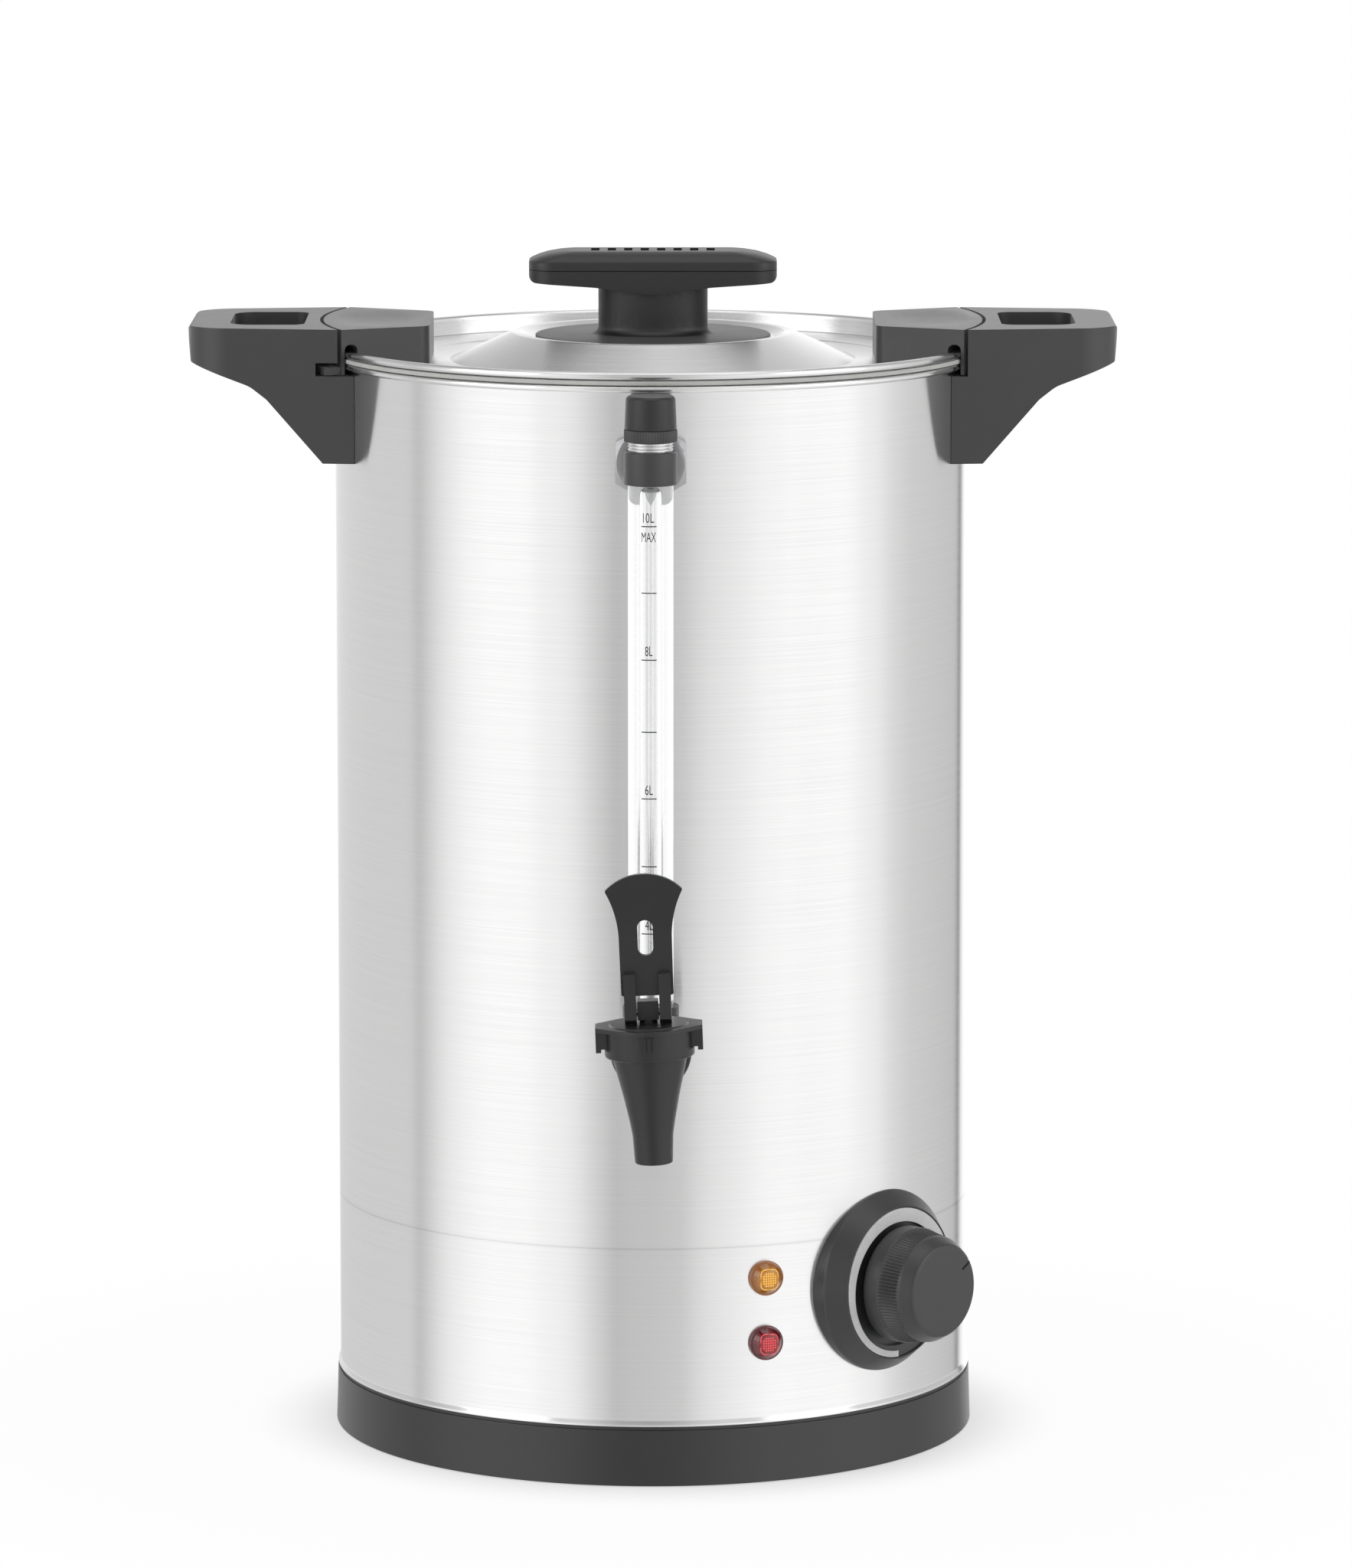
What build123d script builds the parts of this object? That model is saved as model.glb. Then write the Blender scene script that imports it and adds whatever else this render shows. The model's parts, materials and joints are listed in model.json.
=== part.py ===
from build123d import *

import os
from math import cos, radians, sin, sqrt, tan

os.makedirs("parts", exist_ok=True)

# Hot water urn. Millimetres, +Z up, front towards -Y, +X to the right of someone in front of it.
# The origin is on the tank's axis, in the plane that the foot ring rests on.

# ---- Driving dimensions ----

# Tank
TANK_R = 115.0
SHELL_WALL = 0.6
RIM_Z = 390.5
RIM_ROLL_H = 2.2
RIM_ROLL_OUT = 2.4
FLOOR_Z = 86.0
FLOOR_WALL = 0.8
FLOOR_FLANGE_H = 3.6
WELD_GAP = 0.04

# Base
BEAD_Z = 21.7
BEAD_H = 2.2
BEAD_OUT = 0.85
RING_WALL = 1.6
RING_TOP_WALL = 0.95
RING_LIP_WALL = 0.4
SHADOW_GAP_H = 1.2
RING_LEDGE_Z = 8.0
RING_BOTTOM_Z = 0.3
RING_LEDGE_W = 20.0
FOOT_W = 9.0
FOOT_INSET = 1.75
FOOT_GROOVE_H = 2.2
BASE_PLATE_WALL = 1.0
BASE_SCREW_INSET = 13.5
BASE_SCREW_R = 2.0
BRACKET_W = 14.0
BRACKET_H = 15.0
BRACKET_WALL = 1.5

# Lid
LID_WALL = 0.6
LID_ANNULUS_DROP = 1.9
LID_EDGE_W = 3.3
LID_EDGE_H = 2.6
LID_EDGE_OUT = 2.6
CONE_FOOT_INSET = 41.7
CONE_CREST_R = 49.3
CONE_H = 9.9
SEAT_R = 44.0
SEAT_DIP = 1.8
SWAGE_OUTER_INSET = 24.0
SWAGE_W = 7.7
SWAGE_DROP = 0.3
SEAL_H = 1.6

# Ears and their bayonet tabs
EAR_TOP_H = 12.6
EAR_LENGTH = 35.0
EAR_HALF_W = 42.7
EAR_INNER_HALF_W = 28.4
EAR_LEG_OUT = 4.0
EAR_LEG_WALL = 1.25
EAR_NOTCH_ROOM = 2.3
EAR_LEG_DROP = 5.8
TAB_OUT = 6.1
TAB_H = 2.6
TAB_ANGLE_IN = 15.0
TAB_ANGLE_OUT = 20.6

# Handles
HANDLE_HALF_W = 43.5
HANDLE_TIP_HALF_W = 36.0
HANDLE_OUT = 52.0
HANDLE_DROP = 33.3
RECESS_OUT = 5.3
SLOT_OUT = 12.4
SLOT_H = 4.8
GRIP_HOLE_IN = 10.2
GRIP_HOLE_OUT = 37.0
GRIP_HOLE_HALF_W = 24.0
HANDLE_SCREW_ANGLE = 13.0
HANDLE_SCREW_DROP = 26.0
HANDLE_SCREW_R = 2.0
HANDLE_SCREW_REACH = 8.0
HANDLE_SCREW_HEAD_R = 4.0
HANDLE_SCREW_HEAD_H = 2.4

# Knob on the lid
KNOB_DISC_R = 42.5
KNOB_DISC_H = 1.1
KNOB_STEM_HALF_W = 19.75
KNOB_STEM_HALF_D = 14.0
KNOB_HALF_W = 44.7
KNOB_HALF_D = 15.0
KNOB_UNDERSIDE_H = 18.8
KNOB_SEAM_H = 24.6
KNOB_TOP_H = 31.5
KNOB_SLOT_COUNT = 8
KNOB_SLOT_PITCH = 5.95
KNOB_SLOT_W = 3.0
KNOB_SLOT_LENGTH = 15.0
KNOB_SLOT_DEPTH = 2.5
KNOB_SCREW_R = 3.0

# Sight gauge
FRONT_X = -0.5
HOLDER_ROOM = 0.35
TUBE_R = 7.95
TUBE_BORE_R = 2.6
TUBE_VENT_R = 0.8
HOLDER_DROP = 30.5
HOLDER_H = 11.7
HOLDER_WALL = 1.4
STUB_R = 5.4
HEX_FLATS = 24.8
HEX_H = 4.3
COLLAR_BAND_H = 3.3
LOCK_RING_WALL = 1.35
LOCK_RING_H = 4.15
CAP_H = 11.7
CAP_FOOT_WALL = 1.15
CAP_TOP_WALL = 0.65
SEAL_WALL = 1.4

# Tap
SHANK_Z = 157.5
SHANK_R = 7.0
SHANK_BORE_R = 3.8
TAP_OUT = 45.0
TAP_LEAN = 2.15
NOZZLE_Z = 126.4
NOZZLE_BORE_R = 4.6
VALVE_SEAT_Z = 151.5
SEAT_CHAMFER = 0.5
BARREL_TOP_Z = 172.8
BARREL_R = 13.1
CHAMBER_R = 10.5
BONNET_PLATE_Z = 173.8
BONNET_PLATE_H = 2.0
COLLAR_WALL = 2.55
BONNET_LIP = 0.95
BONNET_LUG = 2.0
COLLAR_BOTTOM_Z = 164.2
STEM_R = 3.1
STEM_LIFT = 4.0
PIVOT_H = 4.1
PIN_R = 1.25
LEVER_SWING = 50.0
LEVER_TOP_H = 53.6
LEG_IN = 4.05
LEG_OUT = 8.1
LOWER_NUT_WALL = 1.0
LOWER_NUT_Z = 172.2
LOWER_NUT_H = 4.3
TEE_BOSS_WALL = 0.95

# Thermostat dial and pilot lamps
DIAL_AZIMUTH = 46.3
DIAL_Z = 67.5
BEZEL_R = 32.8
BEZEL_SHOULDER_W = 4.05
BEZEL_SIDE_OUT = 5.7
BEZEL_FACE_OUT = 7.6
BEZEL_SLOPE_W = 1.8
SCALE_W = 3.95
DIAL_WELL_ROOM = 2.2
KNOB_TAPER = 1.8
DIAL_KNOB_START = 8.5
DIAL_KNOB_SKIRT = 6.1
DIAL_KNOB_LENGTH = 19.9
DIAL_SHAFT_GRIP = 14.5
DIAL_POINTER_ANGLE = 33.0
THERMO_SHAFT_R = 3.0
THERMO_SIZE = 28.0
THERMO_DEPTH = 16.0
LAMP_AZIMUTH = 20.4
LAMP_HEIGHTS = {"lamp_amber": 74.25, "lamp_red": 50.85}
LAMP_R = 6.3

# Heater
PLATE_R = 70.0
PLATE_H = 6.0
ELEMENT_R = 55.0
ELEMENT_TUBE_R = 3.5
GLAND_Z = 45.0
GLAND_R = 8.0
CORD_BORE_R = 4.2

# Clearances
GAP = 0.3
PLUG_GAP = 0.45
SLIDE_FIT = 0.05
SEAT_FIT = 0.1
SCREW_TIP_GAP = 0.5
THROUGH = 1.0

# ---- Sizes that follow from them ----

SHELL_INNER_R = TANK_R - SHELL_WALL
WELD_Z = FLOOR_Z
RING_TOP_Z = BEAD_Z - SHADOW_GAP_H
RIM_TOP_Z = RIM_Z + RIM_ROLL_H
RIM_R = TANK_R + RIM_ROLL_OUT
SEAL_Z = RIM_TOP_Z + GAP
LID_EDGE_Z = SEAL_Z + SEAL_H + GAP
LID_EDGE_R = TANK_R + LID_EDGE_OUT
ANNULUS_Z = RIM_TOP_Z - LID_ANNULUS_DROP
LID_PLUG_R = SHELL_INNER_R - PLUG_GAP
SEAT_Z = ANNULUS_Z + CONE_H - SEAT_DIP
EAR_TOP_Z = RIM_TOP_Z + EAR_TOP_H
EAR_LEG_R = TANK_R + EAR_LEG_OUT
EAR_BOTTOM_Z = LID_EDGE_Z - EAR_LEG_DROP
RECESS_R = TANK_R + RECESS_OUT
RECESS_Z = EAR_BOTTOM_Z - 2 * GAP
HOLDER_R = TUBE_R + HOLDER_WALL
LOCK_RING_R = TUBE_R + LOCK_RING_WALL
CAP_FOOT_R = TUBE_R + CAP_FOOT_WALL
CAP_TOP_R = TUBE_R + CAP_TOP_WALL
TEE_BOSS_R = TUBE_R + TEE_BOSS_WALL
LOWER_NUT_R = TEE_BOSS_R + LOWER_NUT_WALL
GAUGE_Y = TANK_R + HEX_H + HOLDER_ROOM + HOLDER_R
TAP_Y = TANK_R + TAP_OUT
COLLAR_R = BARREL_R + COLLAR_WALL
BONNET_R = COLLAR_R + BONNET_LIP
BONNET_LUG_OUT = BONNET_R + BONNET_LUG
HOLDER_Z = RIM_Z - HOLDER_DROP
COLLAR_Z = HOLDER_Z + HOLDER_H
LOCK_RING_Z = COLLAR_Z + COLLAR_BAND_H
CAP_Z = LOCK_RING_Z + LOCK_RING_H + SLIDE_FIT
BONNET_TOP_Z = BONNET_PLATE_Z + BONNET_PLATE_H
PIVOT_Z = BONNET_TOP_Z + PIVOT_H
BEZEL_SHOULDER_R = BEZEL_R - BEZEL_SHOULDER_W
SCALE_R = BEZEL_SHOULDER_R - BEZEL_SLOPE_W
DIAL_WELL_R = SCALE_R - SCALE_W
KNOB_SKIRT_R = DIAL_WELL_R - DIAL_WELL_ROOM
KNOB_TOP_R = KNOB_SKIRT_R - KNOB_TAPER
BASE_PLATE_R = TANK_R - 3.0
BASE_SCREW_CIRCLE_R = TANK_R - BASE_SCREW_INSET


# ---- Frames and helpers ----

def outward(azimuth, height, shift=0.0):
    """Frame on the tank's axis: z points outward at an azimuth from the front, x to that side's right."""
    angle = radians(azimuth)
    right = Vector(cos(angle), sin(angle), 0)
    return Plane(origin=right * shift + Vector(0, 0, height), x_dir=right, z_dir=(sin(angle), -cos(angle), 0))


def upright(x, y):
    """Frame at a point of the base plane with its z axis up."""
    return Plane(origin=(x, y, 0), x_dir=(1, 0, 0), z_dir=(0, 0, 1))


def front_of(frame):
    """Plane through a frame's z axis: local x is the frame's x, local y its z."""
    return Plane(frame.origin, x_dir=frame.x_dir, z_dir=-frame.y_dir)


def side_of(frame):
    """Plane through a frame's z axis: local x is the frame's y, local y its z."""
    return Plane(frame.origin, x_dir=frame.y_dir, z_dir=frame.x_dir)


def outline(plane, *corners):
    """Closed face on a plane, from (x, y) or (x, y, corner radius) points."""
    points = [corner[:2] for corner in corners]
    radii = [corner[2] if len(corner) > 2 else 0 for corner in corners]
    with BuildSketch(plane) as closed_outline:
        with BuildLine():
            FilletPolyline(*points, radius=radii, close=True)
        make_face()
    return closed_outline.sketch


def turn(frame, *corners, mode=Mode.ADD):
    """Revolve a (radius, height) outline about a frame's z axis."""
    return revolve(outline(front_of(frame), *corners), axis=Axis(frame.origin, frame.z_dir), mode=mode)


def rod(frame, radius, near, far, mode=Mode.ADD):
    """Cylinder along a frame's z axis, between two distances from its origin."""
    with Locations(frame.offset(near)):
        Cylinder(radius, far - near, align=(Align.CENTER, Align.CENTER, Align.MIN), mode=mode)


def tube(frame, radius, bore, near, far):
    """Plain ring or sleeve along a frame's z axis."""
    turn(frame, (bore, near), (radius, near), (radius, far), (bore, far))


def block(frame, size, centre, mode=Mode.ADD):
    """Box centred on a point of a frame."""
    with Locations(frame * Pos(*centre)):
        Box(*size, mode=mode)


def hex_nut(frame, flats, bore, near, far, chamfer_size=0.8):
    """Hexagonal nut with one corner up and both faces chamfered to a cone."""
    corner_r = flats / 2 / cos(radians(30))
    with BuildSketch(frame.offset(near)) as hexagon:
        RegularPolygon(flats / 2, 6, major_radius=False, rotation=90)
    extrude(hexagon.sketch, amount=far - near)
    turn(
        frame,
        (0, near),
        (corner_r - 2 * chamfer_size, near),
        (corner_r, near + chamfer_size),
        (corner_r, far - chamfer_size),
        (corner_r - 2 * chamfer_size, far),
        (0, far),
        mode=Mode.INTERSECT,
    )
    rod(frame, bore, near, far, mode=Mode.SUBTRACT)


def reach(radius, half_width):
    """Distance from the tank's axis to the chord of that half width in a circle."""
    return sqrt(radius**2 - half_width**2)


def write(builder, label):
    """Label a finished piece and write it as a STEP file."""
    builder.part.label = label
    export_step(builder.part, f"parts/{label}.step")


AXIS = upright(0, 0)
GAUGE = upright(FRONT_X, -GAUGE_Y)
SHANK = outward(0, SHANK_Z, shift=FRONT_X)
STUB_Z = HOLDER_Z + HOLDER_H / 2 + 0.35
STUB = outward(0, STUB_Z, shift=FRONT_X)
LEAN = radians(TAP_LEAN)
TAP = Plane(
    origin=(FRONT_X + SHANK_Z * tan(LEAN), -TAP_Y, 0),
    x_dir=(cos(LEAN), 0, sin(LEAN)),
    z_dir=(-sin(LEAN), 0, cos(LEAN)),
)
DIAL = outward(DIAL_AZIMUTH, DIAL_Z)
GLAND = outward(180, GLAND_Z)
LAMPS = {label: outward(LAMP_AZIMUTH, height) for label, height in LAMP_HEIGHTS.items()}
HANDLE_SCREW_Z = RIM_Z - HANDLE_SCREW_DROP
HANDLE_SCREWS = [
    outward(side + turn_angle, HANDLE_SCREW_Z)
    for side in (90, 270)
    for turn_angle in (-HANDLE_SCREW_ANGLE, HANDLE_SCREW_ANGLE)
]

# ---- Tank ----

THERMO_FRONT = reach(SHELL_INNER_R, THERMO_SIZE / 2) - SEAT_FIT
THERMO_SCREW_R = 1.5
THERMO_SCREW_X = 9.0
THERMO_SCREW_REACH = 5.0
THERMO_SCREW_HEAD_R = 2.8
THERMO_SCREW_HEAD_OUT = 1.9
THERMO_BUSH_R = 5.0
THERMO_BUSH_OUT = 4.0
THERMO_SHAFT_DEPTH = 9.0
LAMP_TAIL_R = 5.0

with BuildPart() as tank_wall:
    tube(AXIS, TANK_R, SHELL_INNER_R, WELD_Z + WELD_GAP, RIM_Z + RIM_ROLL_H / 2)
    turn(
        AXIS,
        (SHELL_INNER_R, RIM_Z, 0.5),
        (RIM_R, RIM_Z, 1.0),
        (RIM_R, RIM_TOP_Z, 1.0),
        (SHELL_INNER_R, RIM_TOP_Z, 0.8),
    )
    rod(SHANK, SHANK_R + SEAT_FIT, 0, TANK_R + THROUGH, mode=Mode.SUBTRACT)
    rod(STUB, STUB_R + SEAT_FIT, 0, TANK_R + THROUGH, mode=Mode.SUBTRACT)
    for screw_frame in HANDLE_SCREWS:
        rod(screw_frame, HANDLE_SCREW_R + SEAT_FIT, 0, TANK_R + THROUGH, mode=Mode.SUBTRACT)
write(tank_wall, "tank_wall")

with BuildPart() as body_skirt:
    turn(
        AXIS,
        (SHELL_INNER_R, RING_LEDGE_Z),
        (TANK_R, RING_LEDGE_Z),
        (TANK_R, BEAD_Z),
        (TANK_R + BEAD_OUT, BEAD_Z, 0.3),
        (TANK_R + BEAD_OUT, BEAD_Z + BEAD_H / 3, 1.0),
        (TANK_R, BEAD_Z + BEAD_H, 1.5),
        (TANK_R, WELD_Z),
        (SHELL_INNER_R, WELD_Z),
    )
    rod(DIAL, THERMO_BUSH_R + SEAT_FIT, 0, TANK_R + THROUGH, mode=Mode.SUBTRACT)
    rod(GLAND, GLAND_R + SEAT_FIT, 0, TANK_R + THROUGH, mode=Mode.SUBTRACT)
    for lamp_frame in LAMPS.values():
        rod(lamp_frame, LAMP_TAIL_R + SEAT_FIT, 0, TANK_R + THROUGH, mode=Mode.SUBTRACT)
    for side in (-1, 1):
        hole_frame = outward(DIAL_AZIMUTH, DIAL_Z, shift=side * THERMO_SCREW_X)
        rod(hole_frame, THERMO_SCREW_R + SEAT_FIT, 0, TANK_R + THROUGH, mode=Mode.SUBTRACT)
write(body_skirt, "body_skirt")

FLOOR_R = SHELL_INNER_R - SEAT_FIT
with BuildPart() as tank_floor:
    turn(
        AXIS,
        (0, FLOOR_Z - FLOOR_WALL),
        (FLOOR_R - FLOOR_WALL, FLOOR_Z - FLOOR_WALL),
        (FLOOR_R - FLOOR_WALL, FLOOR_Z - FLOOR_FLANGE_H),
        (FLOOR_R, FLOOR_Z - FLOOR_FLANGE_H),
        (FLOOR_R, FLOOR_Z, 1.5),
        (0, FLOOR_Z),
    )
write(tank_floor, "tank_floor")

# ---- Base ----

BASE_SCREW_HEAD_R = 3.6
BASE_SCREW_HEAD_H = 2.4
BASE_SCREW_SINK = 4.3
BASE_SCREW_ANGLE = 45.0
RING_R = TANK_R + RING_WALL
RING_TOP_R = TANK_R + RING_TOP_WALL
LIP_R = TANK_R + RING_LIP_WALL
LEDGE_R = TANK_R - RING_LEDGE_W
FOOT_R = RING_R - FOOT_INSET
BASE_PLATE_Z = RING_LEDGE_Z
BRACKET_Z = BASE_PLATE_Z + BASE_PLATE_WALL
BRACKET_R = reach(SHELL_INNER_R, BRACKET_W / 2) - SEAT_FIT

with BuildPart() as base_ring:
    turn(
        AXIS,
        (LEDGE_R, RING_BOTTOM_Z),
        (RING_R, RING_BOTTOM_Z, 0.6),
        (RING_TOP_R, RING_TOP_Z, 0.3),
        (LIP_R, RING_TOP_Z),
        (LIP_R, BEAD_Z - SLIDE_FIT),
        (TANK_R + SEAT_FIT, BEAD_Z - SLIDE_FIT),
        (TANK_R + SEAT_FIT, RING_LEDGE_Z),
        (LEDGE_R, RING_LEDGE_Z),
    )
    turn(
        AXIS,
        (FOOT_R - FOOT_W, 0),
        (FOOT_R, 0),
        (FOOT_R, RING_BOTTOM_Z + FOOT_GROOVE_H),
        (FOOT_R - FOOT_W, RING_BOTTOM_Z + FOOT_GROOVE_H),
        mode=Mode.SUBTRACT,
    )
    with PolarLocations(BASE_SCREW_CIRCLE_R, 4, start_angle=BASE_SCREW_ANGLE):
        Cylinder(BASE_SCREW_R + SEAT_FIT, 4 * RING_TOP_Z, mode=Mode.SUBTRACT)
        Cylinder(BASE_SCREW_HEAD_R + GAP, 2 * (RING_BOTTOM_Z + BASE_SCREW_SINK), mode=Mode.SUBTRACT)
write(base_ring, "base_ring")

with BuildPart() as foot_ring:
    turn(
        AXIS,
        (FOOT_R - FOOT_W + SEAT_FIT, 0),
        (FOOT_R - SEAT_FIT, 0, 0.4),
        (FOOT_R - SEAT_FIT, RING_BOTTOM_Z + FOOT_GROOVE_H),
        (FOOT_R - FOOT_W + SEAT_FIT, RING_BOTTOM_Z + FOOT_GROOVE_H),
    )
write(foot_ring, "foot_ring")

with BuildPart() as base_plate:
    rod(AXIS, BASE_PLATE_R, BASE_PLATE_Z, BASE_PLATE_Z + BASE_PLATE_WALL)
    with PolarLocations(BASE_SCREW_CIRCLE_R, 4, start_angle=BASE_SCREW_ANGLE):
        Cylinder(BASE_SCREW_R + SEAT_FIT, 4 * RING_TOP_Z, mode=Mode.SUBTRACT)
write(base_plate, "base_plate")

with BuildPart() as base_brackets:
    for quarter in range(4):
        bracket_frame = outward(BASE_SCREW_ANGLE + 90 * quarter, BRACKET_Z)
        foot_length = BRACKET_R - BASE_SCREW_CIRCLE_R + BRACKET_W / 2
        bracket_side = Plane(bracket_frame.origin, x_dir=bracket_frame.z_dir, z_dir=bracket_frame.x_dir)
        with BuildSketch(bracket_side) as angle:
            with BuildLine():
                Polyline(
                    (BRACKET_R, 0),
                    (BRACKET_R, -BRACKET_H),
                    (BRACKET_R - BRACKET_WALL, -BRACKET_H),
                    (BRACKET_R - BRACKET_WALL, -BRACKET_WALL),
                    (BRACKET_R - foot_length, -BRACKET_WALL),
                    (BRACKET_R - foot_length, 0),
                    close=True,
                )
            make_face()
        extrude(angle.sketch, amount=BRACKET_W / 2, both=True)
    with PolarLocations(BASE_SCREW_CIRCLE_R, 4, start_angle=BASE_SCREW_ANGLE):
        Cylinder(BASE_SCREW_R + SEAT_FIT, 4 * RING_TOP_Z, mode=Mode.SUBTRACT)
write(base_brackets, "base_brackets")

with BuildPart() as base_screws:
    head_top = RING_BOTTOM_Z + BASE_SCREW_SINK
    for quarter in range(4):
        angle_from_x = radians(BASE_SCREW_ANGLE + 90 * quarter)
        screw = upright(BASE_SCREW_CIRCLE_R * cos(angle_from_x), BASE_SCREW_CIRCLE_R * sin(angle_from_x))
        rod(screw, BASE_SCREW_HEAD_R, head_top - BASE_SCREW_HEAD_H, head_top)
        rod(screw, BASE_SCREW_R, head_top, BRACKET_Z + BRACKET_WALL + 2)
write(base_screws, "base_screws")

# ---- Heater and electrics, under the tank floor ----

PLATE_Z = FLOOR_Z - FLOOR_WALL - PLATE_H
ELEMENT_Z = PLATE_Z - ELEMENT_TUBE_R - SLIDE_FIT
ELEMENT_START = 120.0
ELEMENT_ARC = 300.0
TERMINAL_Z = PLATE_Z - 17.0
TERMINAL_X = ELEMENT_R * cos(radians(60))
TERMINAL_Y = ELEMENT_R * sin(radians(60))
CUTOUT_R = 9.0
CUTOUT_H = 9.0
CUTOUT_TAB = (0.8, 6.3, 8.0)
BLOCK_Y = 62.0
BLOCK_SIZE = (32.0, 18.0, 14.0)
BLOCK_TOP_Z = BRACKET_Z + BLOCK_SIZE[2]
WIRE_R = 1.3
WIRE_X = 4.0

with BuildPart() as heat_plate:
    rod(AXIS, PLATE_R, PLATE_Z, PLATE_Z + PLATE_H)
write(heat_plate, "heat_plate")

with BuildPart() as heating_element:
    with BuildSketch(outward(ELEMENT_START, 0)) as element_section:
        with Locations((ELEMENT_R, ELEMENT_Z)):
            Circle(ELEMENT_TUBE_R)
    revolve(element_section.sketch, axis=Axis.Z, revolution_arc=ELEMENT_ARC)
    for side in (-1, 1):
        rod(upright(side * TERMINAL_X, TERMINAL_Y), ELEMENT_TUBE_R, TERMINAL_Z, ELEMENT_Z)
write(heating_element, "heating_element")

with BuildPart() as dry_boil_cutout:
    rod(AXIS, CUTOUT_R, PLATE_Z - CUTOUT_H, PLATE_Z)
    for side in (-1, 1):
        block(AXIS, CUTOUT_TAB, (side * CUTOUT_R / 2, 0, PLATE_Z - CUTOUT_H - CUTOUT_TAB[2] / 2))
write(dry_boil_cutout, "dry_boil_cutout")

with BuildPart() as thermostat_body:
    block(DIAL, (THERMO_SIZE, THERMO_SIZE, THERMO_DEPTH), (0, 0, THERMO_FRONT - THERMO_DEPTH / 2))
    rod(DIAL, THERMO_BUSH_R, THERMO_FRONT, TANK_R + THERMO_BUSH_OUT)
    shaft_foot = THERMO_FRONT - THERMO_SHAFT_DEPTH
    rod(DIAL, THERMO_SHAFT_R + SLIDE_FIT, shaft_foot, TANK_R + THERMO_BUSH_OUT + THROUGH, mode=Mode.SUBTRACT)
    for side in (-1, 1):
        hole_frame = outward(DIAL_AZIMUTH, DIAL_Z, shift=side * THERMO_SCREW_X)
        hole_end = THERMO_FRONT - THERMO_SCREW_REACH - 2 * SCREW_TIP_GAP
        rod(hole_frame, THERMO_SCREW_R + SEAT_FIT, hole_end, THERMO_FRONT, mode=Mode.SUBTRACT)
write(thermostat_body, "thermostat_body")

with BuildPart() as thermostat_shaft:
    rod(DIAL, THERMO_SHAFT_R, shaft_foot + GAP, TANK_R + DIAL_KNOB_START + DIAL_SHAFT_GRIP)
write(thermostat_shaft, "thermostat_shaft")

with BuildPart() as thermostat_screws:
    for side in (-1, 1):
        screw = outward(DIAL_AZIMUTH, DIAL_Z, shift=side * THERMO_SCREW_X)
        rod(screw, THERMO_SCREW_R, THERMO_FRONT - THERMO_SCREW_REACH, TANK_R + SEAT_FIT)
        rod(screw, THERMO_SCREW_HEAD_R, TANK_R + SEAT_FIT, TANK_R + THERMO_SCREW_HEAD_OUT)
write(thermostat_screws, "thermostat_screws")


def route(radius, *points, radii):
    """Wire of that radius along straight runs joined by tangent arcs."""
    with BuildLine() as path:
        FilletPolyline(*points, radius=radii)
    start = path.line @ 0
    with BuildSketch(Plane(origin=start, z_dir=path.line % 0)) as section:
        Circle(radius)
    return sweep(section.sketch, path=path.line)


def on_thermostat(across, up, inward):
    """Point behind the thermostat, in the tank's frame."""
    return DIAL.from_local_coords((across, up, THERMO_FRONT - THERMO_DEPTH - inward))


CAPILLARY_R = 0.9
BULB_R = 3.0
BULB_X = 88.0
BULB_Z = FLOOR_Z - FLOOR_WALL - BULB_R - SEAT_FIT
BULB_NEAR_Y = -20.0
BULB_FAR_Y = 30.0
with BuildPart() as capillary_bulb:
    route(
        CAPILLARY_R,
        on_thermostat(8, 6, 0),
        on_thermostat(8, 6, 14),
        (BULB_X, BULB_NEAR_Y - 18, BULB_Z),
        (BULB_X, BULB_NEAR_Y, BULB_Z),
        radii=(6, 6),
    )
    rod(Plane(origin=(BULB_X, 0, BULB_Z), x_dir=(1, 0, 0), z_dir=(0, 1, 0)), BULB_R, BULB_NEAR_Y, BULB_FAR_Y)
write(capillary_bulb, "capillary_bulb")

with BuildPart() as terminal_block:
    block(AXIS, BLOCK_SIZE, (0, BLOCK_Y, BRACKET_Z + BLOCK_SIZE[2] / 2))
write(terminal_block, "terminal_block")

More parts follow.
